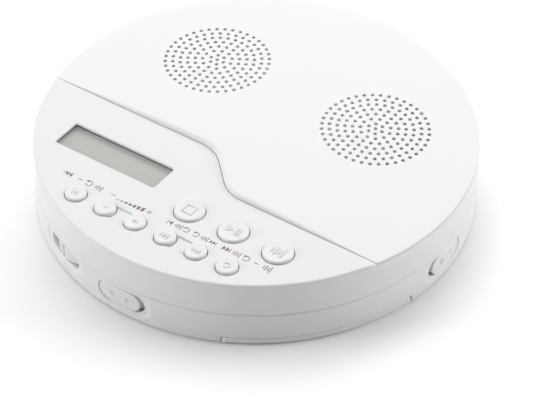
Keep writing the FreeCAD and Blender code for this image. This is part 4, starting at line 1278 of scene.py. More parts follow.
@dataclass(frozen=True)
class Weave(Finish):
    """Woven cloth or pressed paper seen through small holes."""

    threads: float = 1500.0

    def shade(self, wires: Wiring, effects: Effects) -> bpy.types.NodeSocket:
        """Makes the shader.

        Args:
            wires: The material's wiring.
            effects: Shared node groups.

        Returns:
            The shader's output socket.
        """
        cells = wires.add("ShaderNodeTexVoronoi", {"Vector": wires.place(), "Scale": self.threads})
        bump = wires.bump(0.6, cells.outputs["Distance"])
        return wires.principled({
            "Base Color": self.toned(wires, effects, 0.3, 300.0), "Roughness": self.roughness,
            "Normal": bump, "Sheen Weight": 0.3, "Specular IOR Level": 0.2})


@dataclass(frozen=True)
class Ink(Finish):
    """Printed marking: a matt film with a slightly uneven coverage."""

    def shade(self, wires: Wiring, effects: Effects) -> bpy.types.NodeSocket:
        """Makes the shader.

        Args:
            wires: The material's wiring.
            effects: Shared node groups.

        Returns:
            The shader's output socket.
        """
        return wires.principled({
            "Base Color": self.toned(wires, effects, 0.15, 900.0), "Roughness": self.roughness,
            "Specular IOR Level": 0.3})


WHITE_LIGHT = (1.0, 1.0, 1.0, 1.0)
WHITE: Colour = (0.83, 0.83, 0.842)
FINISHES: Dict[str, Finish] = {
    "casing": Plastic("casing", WHITE, 0.45, edges=Edges.MODELLED, grain_depth=0.03, specular=0.35),
    "panel": Plastic("panel", (0.875, 0.875, 0.88), 0.5, edges=Edges.MODELLED, grain_depth=0.03,
                     specular=0.35),
    "keys": Plastic("keys", WHITE, 0.45, edges=Edges.MODELLED, grain_depth=0.04),
    "display_clear": Clear("display_clear", (0.97, 0.97, 0.96), 0.03),
    "display_frame": Plastic("display_frame", (0.33, 0.33, 0.32), 0.5, grain_depth=0.1),
    "display_cell": LiquidCrystal("display_cell", (0.335, 0.322, 0.305), 0.35, Edges.MODELLED),
    "deck": Plastic("deck", (0.62, 0.62, 0.64), 0.55, grain_scale=1800.0, grain_depth=0.25),
    "turntable": Plastic("turntable", (0.03, 0.03, 0.033), 0.5),
    "steel": Metal("steel", (0.62, 0.62, 0.64), 0.22),
    "zinc": Metal("zinc", (0.42, 0.43, 0.45), 0.42, stretch=(300.0, 300.0, 300.0)),
    "cone": Weave("cone", (0.02, 0.02, 0.022), 0.8, threads=2200.0),
    "basket": Plastic("basket", (0.025, 0.025, 0.027), 0.6, grain_depth=0.2),
    "board": Laminate("board", (0.03, 0.16, 0.07), 0.35),
    "black_plastic": Plastic("black_plastic", (0.018, 0.018, 0.02), 0.5, grain_depth=0.2),
    "rubber": Plastic("rubber", (0.12, 0.12, 0.125), 0.8, grain_depth=0.5, specular=0.25),
    "cell": Jacket("cell", (0.05, 0.07, 0.12), 0.3),
    "contact": Metal("contact", (0.75, 0.74, 0.70), 0.16),
    "gear": Plastic("gear", (0.78, 0.76, 0.69), 0.4, glow=0.1),
    "pickup": Plastic("pickup", (0.05, 0.05, 0.06), 0.45, grain_depth=0.3),
    "lens": Clear("lens", (0.75, 0.82, 0.95), 0.02, mirror=2.5),
    "print": Ink("print", (0.24, 0.18, 0.165), 0.6, Edges.MODELLED),
    # The relief finish's grey is painted shade: it stands in for the shading of the raised white signs on
    # keys and sliders.
    "relief": Plastic("relief", (0.68, 0.68, 0.69), 0.5, edges=Edges.MODELLED),
    "cloth": Weave("cloth", (0.26, 0.26, 0.265), 0.9),
}


class Palette:
    """Makes each finish once and hands it out by name."""

    def __init__(self) -> None:
        """Makes the shared groups."""
        self.effects = Effects()
        self.made: Dict[str, bpy.types.Material] = {}

    def get(self, name: str) -> bpy.types.Material:
        """Material of a finish.

        Args:
            name: Finish name.

        Returns:
            The material.
        """
        if name not in self.made:
            self.made[name] = FINISHES[name].make(self.effects)
        return self.made[name]

    def paint(self, piece: bpy.types.Object, *names: str) -> None:
        """Gives a piece its materials, one per zone.

        Args:
            piece: The piece.
            *names: Finish names in zone order.
        """
        slots = piece.data.materials
        for i, name in enumerate(names):
            if i < len(slots):
                slots[i] = self.get(name)
            else:
                slots.append(self.get(name))


# ---- Sub-assemblies ----
@dataclass
class SubAssembly:
    """A group of pieces made together. Subclasses build the pieces, and dress gives them their finish."""

    frame: Dict[str, Any]
    palette: Palette
    layout: Layout = LAYOUT
    made: List[Tuple[bpy.types.Object, Tuple[str, ...]]] = field(default_factory=list)

    def build(self) -> None:
        """Builds the pieces."""
        raise NotImplementedError

    def dress(self) -> None:
        """Gives every piece its finish."""
        for piece, finishes in self.made:
            self.palette.paint(piece, *finishes)
        log.info("%s: dressed %d pieces", type(self).__name__, len(self.made))

    def keep(self, piece: bpy.types.Object, *finishes: str) -> bpy.types.Object:
        """Notes a piece for dressing.

        Args:
            piece: The piece.
            *finishes: Its finishes in zone order.

        Returns:
            The same piece.
        """
        self.made.append((piece, finishes))
        return piece


def seam_line(layout: Layout, drop: float) -> List[Plan]:
    """Line along the front edge of the speaker panel from left to right, without its ends at the rim.

    Args:
        layout: Shared sizes.
        drop: How far the line lies in front of the panel's edge.

    Returns:
        The points of its S-bend, both ends of the bend included.
    """
    r, turn = layout.bend_r, layout.bend_turn
    a = math.radians(turn)
    fall = layout.seam_left_y - layout.seam_right_y
    middle = fall - 2 * r * (1 - math.cos(a))
    half = r * math.sin(a) + middle / math.tan(a) / 2
    first = arc(layout.bend_x - half, layout.seam_left_y - r, r - drop, 90, 90 - turn, 12)
    last = arc(layout.bend_x + half, layout.seam_right_y + r, r + drop, 270 - turn, 270, 12)
    return first + last


def plane(z: float) -> Warp:
    """A level face.

    Args:
        z: Its height.

    Returns:
        The warp.
    """
    return lambda u, v, d: (u, v, z - d)


def underside(z: float) -> Warp:
    """A level face that looks down.

    Args:
        z: Its height.

    Returns:
        The warp.
    """
    return lambda u, v, d: (u, v, z + d)


def wrapped(layout: Layout, r: float, inward: float = 1.0) -> Warp:
    """A face bent round the body, measured along the body's own face.

    Args:
        layout: Shared sizes.
        r: The face's radius.
        inward: 1 if depth goes inwards, -1 if it goes outwards.

    Returns:
        The warp.
    """

    def place(u: float, v: float, d: float) -> Point:
        """Bent place of a flat one at a depth."""
        a, reach = u / layout.body_r, r - inward * d
        return reach * math.sin(a), -reach * math.cos(a), v

    return place


@dataclass(frozen=True)
class Bearing:
    """A direction in plan, by its angle from the front, and the direction across it."""

    angle: float

    def at(self, across: float, out: float) -> Plan:
        """Place at two distances from the player's middle.

        Args:
            across: Distance across the direction.
            out: Distance along it.

        Returns:
            The place.
        """
        t = math.radians(self.angle)
        return math.cos(t) * across + math.sin(t) * out, math.sin(t) * across - math.cos(t) * out

    def turn(self, p: Point) -> Point:
        """Turns a point about the player's middle, from the front to the direction."""
        return (*self.at(p[0], -p[1]), p[2])


def rim_arc(r: float, y_start: float, y_end: float, top: bool) -> List[Plan]:
    """Arc of a circle about the middle between the two places where a seam meets it.

    Args:
        r: Radius.
        y_start: Where the arc starts, front to back.
        y_end: Where it ends.
        top: True for the arc round the back, False for the one round the front.

    Returns:
        The points, anticlockwise.
    """
    if top:
        a0 = math.degrees(math.asin(y_start / r))
        a1 = 180 - math.degrees(math.asin(y_end / r))
    else:
        a0 = 180 - math.degrees(math.asin(y_start / r))
        a1 = 360 + math.degrees(math.asin(y_end / r))
    return arc(0, 0, r, a0, a1, max(12, round((a1 - a0) / TURN_STEP)))


def grid_points(x0: float, x1: float, y0: float, y1: float, pitch: float) -> List[Plan]:
    """Staggered points that fill a box.

    Args:
        x0: Low x.
        x1: High x.
        y0: Low y.
        y1: High y.
        pitch: Distance between points.

    Returns:
        The points.
    """
    points = []
    row = 0
    y = y0
    while y < y1:
        x = x0 + (pitch / 2 if row % 2 else 0)
        while x < x1:
            points.append((x, y))
            x += pitch
        y += pitch
        row += 1
    return points


def fan(a0: float, a1: float, step: float = TURN_STEP) -> List[float]:
    """Evenly spread angles.

    Args:
        a0: First angle.
        a1: Last angle.
        step: Longest step.

    Returns:
        The angles, both ends included.
    """
    count = max(2, math.ceil((a1 - a0) / step))
    return [a0 + (a1 - a0) * i / count for i in range(count + 1)]


@dataclass(frozen=True)
class HingeZone:
    """Wall at the back, cut back round the hinge pin, and the barrels on the pin.

    Up is true for the lid's half, whose lower end is cut, and false for the base's, whose upper end is.
    """

    draft: Draft
    layout: Layout
    up: bool
    barrel_r: float = 3.0
    barrel_edge: float = 0.25
    bore_r: float = 1.05
    web_half: float = 2.4
    web_reach: Tuple[float, float] = (0.4, 5.0)
    web_gap: float = 0.05

    def place(self, r: float, z: float, a: float) -> Point:
        """Place on the wall, which leans in on the lid, from a radius, a height and an angle."""
        return Axis().place(min(r, self.layout.lid_r(z)) if self.up else r, z, a)

    def cut(self, r: float, a: float) -> Point:
        """Place where the wall ends at the pin's clearance.

        Args:
            r: Radius in plan.
            a: Angle from the front.

        Returns:
            The place.
        """
        lay = self.layout
        y = -r * math.cos(math.radians(a)) - lay.hinge_y
        rise = math.sqrt(max(0.0, lay.hinge_relief**2 - y * y))
        return self.place(r, lay.seam_z + rise if self.up else lay.seam_z - rise, a)

    def wall(self, fixed: float) -> None:
        """Adds the wall across the hinge zone.

        Args:
            fixed: Height of its end away from the pin.
        """
        lay, draft = self.layout, self.draft
        start = lay.hinge_start(lay.body_r)
        turn = fan(start, 360 - start)
        edge = lay.lid_z if self.up else lay.base_top_z
        radii = [lay.body_r - (lay.body_r - lay.inner_r) * i / 4 for i in range(5)]
        for r, side in ((lay.body_r, 1.0), (lay.inner_r, -1.0)):
            normals = [tuple(Axis().direction(side, 0, a)) for a in turn]
            far = [draft.add(self.place(r, fixed, a), normal) for a, normal in zip(turn, normals)]
            near = [draft.add(self.cut(r, a), normal) for a, normal in zip(turn, normals)]
            draft.strip(far, near, False)
        rows = []
        for r in radii:
            places = [self.cut(r, a) for a in turn]
            rows.append([draft.add((x, y, z), (0, lay.hinge_y - y, lay.seam_z - z)) for x, y, z in places])
        for low, high in zip(rows, rows[1:]):
            draft.strip(low, high, False)
        for a, side in ((turn[0], -1.0), (turn[-1], 1.0)):
            low = [draft.add(self.place(r, edge, a), (side, 0, 0)) for r in radii]
            high = [draft.add(self.cut(r, a), (side, 0, 0)) for r in radii]
            draft.strip(low, high, False)

    def barrel(self, x0: float, x1: float) -> None:
        """Adds a barrel round the pin with its web.

        Args:
            x0: Left end.
            x1: Right end.
        """
        lay, r, e, bore = self.layout, self.barrel_r, self.barrel_edge, self.bore_r
        axis = Axis((0.0, lay.hinge_y, lay.seam_z), (1.0, 0.0, 0.0), (0.0, 0.0, 1.0))
        profile = [straight(bore, x1, r - e, x1)[::-1], bend(r - e, x1 - e, e, 90, 0, 3),
                   straight(r, x0 + e, r, x1 - e), bend(r - e, x0 + e, e, 0, -90, 3),
                   straight(r - e, x0, bore, x0)[::-1]]
        lathe(self.draft, profile, axis, steps=40)
        reach = sorted(lay.seam_z + (1 if self.up else -1) * z for z in self.web_reach)
        y0, y1 = lay.hinge_y - self.web_half, lay.hinge_y + self.web_half
        box(self.draft, x0 + self.web_gap, x1 - self.web_gap, y0, y1, *reach, e)


def box(draft: Draft, x0: float, x1: float, y0: float, y1: float, z0: float, z1: float, e: float = 0.2,
        place: Optional[Callable[[Point], Point]] = None) -> None:
    """Closed block with rounded upper and lower edges.

    Args:
        draft: Draft that takes the faces.
        x0: Left.
        x1: Right.
        y0: Front.
        y1: Back.
        z0: Bottom.
        z1: Top.
        e: Rounding.
        place: Optional move of every point.
    """
    mid_x, mid_y = (x0 + x1) / 2, (y0 + y1) / 2
    outline = rounded_box(mid_x, mid_y, x1 - x0, y1 - y0, e, 3)
    move = place or (lambda p: p)
    for face in (plane(z1), underside(z0)):
        Sheet(draft, lambda u, v, d: move(face(u, v, d)), Edge(outline, e, (z1 - z0) / 2, rings=2)).make()


@dataclass
class LidShell(SubAssembly):
    """The lid's moulding: console face with key holes and window, side wall, ledge and hinge barrel."""

    panel_gap: float = 0.2
    channel_half: float = 3.1
    channel_depth: float = 0.5
    channel_lap: float = 0.2
    hole_edge: float = 0.25
    hole_depth: float = 2.0
    window_edge: float = 0.3
    window_corner: float = 1.2
    ledge: float = 3.0
    barrel_half: float = 13.6
    draft: Draft = field(default_factory=Draft)

    def build(self) -> None:
        """Builds the lid shell."""
        self.console()
        self.wall()
        hinge = HingeZone(self.draft, self.layout, True)
        hinge.wall(self.layout.panel_z)
        hinge.barrel(-self.barrel_half, self.barrel_half)
        shell = self.draft.build("lid_shell", "lid", "casing")
        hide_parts("upper_shell")
        self.keep(shell, "casing")

    def console(self) -> None:
        """Adds the console face."""
        lay = self.layout
        gap = self.panel_gap
        front = rim_arc(lay.body_r, lay.seam_left_y - gap, lay.seam_right_y - gap, False)
        seam = seam_line(lay, gap)[::-1]
        left_end, right_end = front[0], front[-1]
        back = densify([right_end] + seam + [left_end], 4.0, closed=False)[1:-1]
        outline = front + back
        count = len(front)
        edge = self.hole_edge
        growing = [min(lay.edge_r, edge * (1 + min(i, count - 1 - i))) for i in range(count)]
        depth = lay.rim_z - lay.panel_z
        fillets = growing + [edge] * len(back)
        outer = Edge(outline, fillets=fillets, drops=[depth + WELD] * len(outline), rings=5)
        single = [key for key in KEYS if not any(key in pair for pair in PAIRED_KEYS)]
        holes = [Edge(circle(key.x, key.y, key.r, 48), edge, self.hole_depth) for key in single]
        holes += [self.channel(left, right) for left, right in PAIRED_KEYS]
        holes.append(Edge(rounded_box(*lay.display, self.window_corner), self.window_edge, depth))
        Sheet(self.draft, plane(lay.rim_z), outer, holes).make()

    def channel(self, left: KeyPlace, right: KeyPlace) -> Edge:
        """Hole of two keys joined by a shallow channel; the channel's floor is added on the way.

        Args:
            left: Left key.
            right: Right key.

        Returns:
            The outline of both holes and the channel.
        """
        r = left.r
        a = math.degrees(math.asin(self.channel_half / r))
        first = arc(right.x, right.y, r, a - 180, 180 - a, 36)
        last = arc(left.x, left.y, r, a, 360 - a, 36)
        outline: List[Plan] = []
        fillets: List[float] = []
        drops: List[float] = []
        for bow, nearest in ((first, last[0]), (last, first[0])):
            end = bow[-1]
            shares = (0.15, 0.5, 0.85)
            outline += bow + [tuple(Vector(end).lerp(Vector(nearest), t)) for t in shares]
            fillets += [self.hole_edge] * len(bow) + [self.channel_depth] * len(shares)
            drops += [self.hole_depth] * len(bow) + [self.channel_depth + self.channel_lap] * len(shares)
        floor_z = self.layout.rim_z - self.channel_depth
        inner = arc(left.x, left.y, r, -a, a, 10)[::-1]
        outer = arc(right.x, right.y, r, 180 + a, 180 - a, 10)
        base = inner[-1:] + outer + inner[:-1]
        Sheet(self.draft, plane(floor_z), Edge(base, 0.2, 1.5)).make()
        return Edge(outline, fillets=fillets, drops=drops, rings=4)

    def wall(self) -> None:
        """Adds the side wall with its ledge."""
        lay = self.layout
        r, inner, e = lay.body_r, lay.inner_r, lay.lid_edge
        ledge = inner - self.ledge
        turn = fan(-lay.hinge_start(r), lay.hinge_start(r))
        hem = lay.lid_r(lay.lid_z)
        low = [straight(hem, lay.lid_z + e, r, lay.panel_z), bend(hem - e, lay.lid_z + e, e, -90, 0),
               straight(inner, lay.lid_z, hem - e, lay.lid_z), straight(inner, lay.plate_z, inner, lay.lid_z)]
        lathe(self.draft, low, angles=turn)
        high = [straight(ledge, lay.plate_z, inner, lay.plate_z),
                straight(ledge, lay.panel_z, ledge, lay.plate_z),
                straight(r, lay.panel_z, ledge, lay.panel_z)]
        lathe(self.draft, high, steps=240)


@dataclass
class SpeakerPanel(SubAssembly):
    """The crowned panel with its S-shaped front edge, its two ring-pattern grilles and their cloths."""

    softness: float = 0.85
    spread: float = 1.15
    hole_r: float = 0.74
    hole_edge: float = 0.2
    hole_depth: float = 1.5
    cloth_r: float = 20.4
    cloth_lift: float = 1.15
    skirt: float = 1.5
    ring_pitch: float = 2.76
    spacing: float = 3.04
    rings: int = 7

    def build(self) -> None:
        """Builds the panel and the cloths."""
        lay = self.layout
        draft = Draft()
        back = rim_arc(lay.panel_rim_r, lay.seam_right_y, lay.seam_left_y, True)
        seam = seam_line(lay, 0.0)
        front = densify([back[-1]] + seam + [back[0]], 3.0, closed=False)[1:-1]
        outline = back + front
        fillets = [lay.panel_edge] * len(back)
        fillets += [max(lay.panel_edge, self.softness * lay.rise(x, y)) for x, y in front]
        floors = [lay.panel_z + lay.panel_edge] * len(back) + [lay.panel_z] * len(front)
        drops = [lay.rim_z + lay.rise(x, y) - z for (x, y), z in zip(outline, floors)]
        outer = Edge(outline, fillets=fillets, drops=drops, rings=7, spread=self.spread)
        holes = [Edge(circle(x, y, self.hole_r, 12), self.hole_edge, self.hole_depth, rings=2)
                 for x, y in self.hole_places()]
        Sheet(draft, self.face, outer, holes).make(grid_points(-78, 78, -32, 78, 6.0))
        r, e = lay.panel_rim_r, lay.panel_edge
        ends = [math.degrees(math.asin(y / r)) for y in (lay.seam_right_y, lay.seam_left_y)]
        hem = [straight(r - self.skirt, lay.panel_z, r - e, lay.panel_z),
               straight(r - e, lay.panel_z, r, lay.panel_z + e)]
        lathe(draft, hem, angles=[a + 90 for a in fan(ends[0], 180 - ends[1])])
        panel = draft.build("crowned_panel", "lid", "panel")
        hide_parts("speaker_panel")
        self.keep(panel, "panel")
        for side, x in (("left", -lay.speaker_x), ("right", lay.speaker_x)):
            cloth = Draft()
            rim = Edge(circle(x, lay.speaker_y, self.cloth_r, 48), 0.1, 0.25, rings=1)
            Sheet(cloth, plane(lay.panel_z + self.cloth_lift), rim).make()
            self.keep(cloth.build("grille_cloth_" + side, "lid"), "cloth")

    def face(self, u: float, v: float, d: float) -> Point:
        """Warp onto the crowned face.

        Args:
            u: Place across.
            v: Place front to back.
            d: Depth below the face.

        Returns:
            The point.
        """
        return u, v, self.layout.crown_z(u, v) - d

    def hole_places(self) -> List[Plan]:
        """Centres of all grille holes.

        Returns:
            The places.
        """
        places: List[Plan] = []
        cy = self.layout.speaker_y
        for cx in (-self.layout.speaker_x, self.layout.speaker_x):
            places.append((cx, cy))
            for ring in range(1, self.rings + 1):
                r = ring * self.ring_pitch
                count = round(2 * math.pi * r / self.spacing)
                start = -90 + (180 / count if ring == 1 else 0)
                places += [on_circle(r, start + 360 * i / count, cx, cy) for i in range(count)]
        return places


# ---- Pictograms ----
class Pictograms:
    """Generic signs, drawn about (0, 0) and about two units high."""

    @staticmethod
    def bar(x: float, w: float = 0.26, h: float = 2.0, y: float = 0.0) -> List[Plan]:
        """Upright bar.

        Args:
            x: Its middle across.
            w: Width.
            h: Height.
            y: Its middle up.

        Returns:
            The outline.
        """
        return rectangle(x, y, w, h)

    @staticmethod
    def arrow(x: float, way: int, w: float = 1.2, h: float = 2.0) -> List[Plan]:
        """Solid triangle.

        Args:
            x: Middle of its base.
            way: 1 to point right, -1 to point left.
            w: Length.
            h: Height of its base.

        Returns:
            The outline.
        """
        points = [(x, -h / 2), (x + way * w, 0.0), (x, h / 2)]
        return points if way > 0 else points[::-1]

    @classmethod
    def draw(cls, name: str) -> List[List[Plan]]:
        """Outlines of one sign.

        Args:
            name: The sign's name.

        Returns:
            Its closed outlines.
        """
        turn = stroke(arc(0, 0, 0.95, 140, -150, 20), 0.26)
        long, thin = 0.95, 0.14
        cross = [(-long, -thin), (-thin, -thin), (-thin, -long), (thin, -long), (thin, -thin), (long, -thin)]
        signs: Dict[str, List[List[Plan]]] = {
            "back_step": [cls.bar(-1.0), cls.arrow(0.6, -1)],
            "minus": [cls.bar(0.0, 2 * long, 2 * thin)],
            "plus": [cross + [(-x, -y) for x, y in cross]],
            "previous": [cls.bar(-1.45), cls.arrow(-0.05, -1), cls.arrow(1.25, -1)],
            "next": [cls.arrow(-1.25, 1), cls.arrow(0.05, 1), cls.bar(1.45)],
            "loop": [turn, [(-1.35, 0.35), (-0.25, 0.5), (-0.85, 1.25)]],
            "play_pause": [cls.arrow(-1.6, 1, 1.7), cls.bar(0.75, 0.34), cls.bar(1.4, 0.34)],
            "bars": [cls.bar(x, 0.34, h) for x, h in ((-1.2, 1.2), (-0.4, 2.2), (0.4, 1.5), (1.2, 2.6))],
            "left": [cls.arrow(0.0, -1)],
            "right": [cls.arrow(0.0, 1)],
            "eject": [cls.bar(0.0, 2.2, 0.35, -0.575), [(-1.1, -0.05), (1.1, -0.05), (0.0, 1.1)]],
            "lock": [cls.bar(0.0, 1.5, 1.15, -0.375), stroke(arc(0, 0.25, 0.5, 0, 180, 10), 0.24)],
        }
        return signs[name]

    @classmethod
    def place(cls, name: str, x: float, y: float, size: float) -> List[List[Plan]]:
        """Outlines of a sign at a place.

        Args:
            name: The sign's name.
            x: Its centre across.
            y: Its centre front to back.
            size: Scale.

        Returns:
            The outlines.
        """
        return [[(x + px * size, y + py * size) for px, py in outline] for outline in cls.draw(name)]


@dataclass
class Keypad(SubAssembly):
    """Nine push keys with raised signs, and the printed signs beside them."""

    proud: float = 0.9
    play: float = 0.3
    rounding: float = 0.6
    dish: float = 0.12
    dish_from: float = 1.3
    dish_to: float = 2.2
    flange: float = 0.8
    flange_thick: float = 0.6
    relief: float = 0.2
    relief_edge: float = 0.05
    small_sign: float = 1.15
    large_sign: float = 1.75
    stop_outer: float = 4.5
    stop_inner: float = 3.4
    print_lift: float = 0.02
    print_y: float = -56.5
    prints: Tuple[Tuple[float, str, float], ...] = (
        (-40.6, "previous", 1.15), (-35.4, "minus", 1.0), (-31.6, "loop", 1.25), (-27.4, "bars", 1.05),
        (-21.0, "minus", 1.1), (-5.4, "plus", 1.1), (3.9, "back_step", 1.1), (7.2, "bars", 1.0),
        (10.5, "loop", 1.1), (14.6, "loop", 1.1), (18.1, "bars", 1.0), (21.5, "next", 0.9),
        (27.0, "next", 1.15), (31.4, "bars", 1.05), (35.4, "loop", 1.2), (39.6, "minus", 1.0),
        (43.9, "bars", 1.15))
    scale_x: float = -18.9
    scale_pitch: float = 1.72
    scale_bars: int = 7
    scale_width: float = 1.1
    scale_foot: float = 1.2
    scale_rise: float = 0.28
    scale_slant: float = 0.2

    def build(self) -> None:
        """Builds keys and prints."""
        for key in KEYS:
            self.cap(key)
        self.print_console()

    def cap(self, key: KeyPlace) -> None:
        """Builds one key with its sign.

        Args:
            key: The key.
        """
        lay = self.layout
        draft = Draft()
        top, low, r, e = lay.rim_z + self.proud, lay.plate_z - 0.05, key.r - self.play, self.rounding
        wide, under = r + self.flange, low - self.flange_thick
        floor = top - self.dish
        dish = [Node(r - e, top, 0.0, 1.0), Node(r - self.dish_from, top - self.dish / 4, -0.15, 1.0),
                Node(r - self.dish_to, floor, -0.04, 1.0), Node(0.0, floor, 0.0, 1.0)]
        parts = [straight(r, low, r, top - e), bend(r - e, top - e, e, 0, 90, 6), dish,
                 straight(wide, under, wide, low), straight(wide, low, r, low),
                 straight(0.0, under, wide, under)]
        lathe(draft, parts, Axis((key.x, key.y, 0.0)), steps=72)
        draft.zone = 1
        if key.icon == "stop":
            self.ring_sign(draft, key, floor)
        else:
            size = self.large_sign if key.r == LARGE_KEYS.r else self.small_sign
            for outline in Pictograms.place(key.icon, key.x, key.y, size):
                edge = Edge(outline, self.relief_edge, self.relief, rings=2)
                Sheet(draft, plane(floor + self.relief), edge).make()
        cap = draft.build("key_cap_" + key.name, "key_" + key.name, "keys")
        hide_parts("key_" + key.name)
        # The signs take the relief finish, whose grey is painted shade.
        self.keep(cap, "keys", "relief")

    def ring_sign(self, draft: Draft, key: KeyPlace, floor: float) -> None:
        """Adds the hollow square of the stop key.

        Args:
            draft: Draft that takes the faces.
            key: The key.
            floor: Height of the cap's dished face.
        """
        squares = (rounded_box(key.x, key.y, size, size, corner, 2)
                   for size, corner in ((self.stop_outer, 0.2), (self.stop_inner, 0.1)))
        outer, inner = (Edge(square, self.relief_edge, self.relief, rings=2) for square in squares)
        Sheet(draft, plane(floor + self.relief), outer, [inner]).make()

    def print_console(self) -> None:
        """Builds the printed signs on the console, with a scale of growing bars between minus and plus."""
        y = self.print_y
        outlines: List[List[Plan]] = []
        for x, name, size in self.prints:
            outlines += Pictograms.place(name, x, y, size)
        for i in range(self.scale_bars):
            left, foot = self.scale_x + self.scale_pitch * i, y - self.scale_foot
            right, top = left + self.scale_width, foot + self.scale_slant + self.scale_rise * i
            outlines.append([(left, foot), (right, foot), (right, top + self.scale_slant), (left, top)])
        draft = Draft()
        for outline in outlines:
            edge = Edge(outline, 0.0, self.print_lift, rings=1)
            Sheet(draft, plane(self.layout.rim_z + self.print_lift), edge).make()
        self.keep(draft.build("console_print", "lid"), "print")


# ---- Base ----
def smooth_step(x: float) -> float:
    """Smooth ramp from 0 to 1.

    Args:
        x: Where on the ramp.

    Returns:
        The value.
    """
    t = max(0.0, min(1.0, x))
    return t * t * (3 - 2 * t)


@dataclass(frozen=True)
class Slot:
    """A slot in the base wall and the shallow dish round it, both placed along the wall from the front."""

    u: float
    z: float
    size: Tuple[float, float]
    dish_u: float
    dish: Tuple[float, float]
    depth: float
    shoulder: float = 0.7

    def outline(self) -> List[Plan]:
        """The slot's outline.

        Returns:
            Its points.
        """
        return stadium(self.u, self.z, *self.size)

    def sink(self, u: float, v: float) -> float:
        """Depth of the dish.

        Args:
            u: Place along the wall.
            v: Height.

        Returns:
            The depth.
        """
        length, height = self.dish
        beyond = max(0.0, abs(u - self.dish_u) - (length - height) / 2)
        inside_by = height / 2 - math.hypot(beyond, v - self.z)
        return self.depth * smooth_step(inside_by / self.shoulder + 0.5)

    def dish_lines(self) -> List[Plan]:
        """Close points along the dish's shoulder, which need a fine mesh.

        Returns:
            The points.
        """
        points: List[Plan] = []
        for grow in (-0.75, -0.3, 0.3):
            points += densify(stadium(self.dish_u, self.z, *(side + grow for side in self.dish)), 0.9)
        return points


def slots(layout: Layout) -> List[Slot]:
    """The three slots of the base wall.

    Args:
        layout: Shared sizes.

    Returns:
        Open slot, hold slot and wheel window.
    """
    hold, wheel = layout.along_wall(layout.hold_angle), layout.along_wall(layout.wheel_angle)
    room, shift, size, dish, depth = 1.2, 0.9, (20.0, 8.0), (19.8, 9.2), 0.36
    return [Slot(-room, layout.slot_z, size, shift, dish, depth),
            Slot(hold + room, layout.slot_z, size, hold - shift, dish, depth),
            Slot(wheel + 0.4, layout.wheel_z, (18.8, 6.2), wheel - 0.5, (22.4, 7.0), 0.4)]


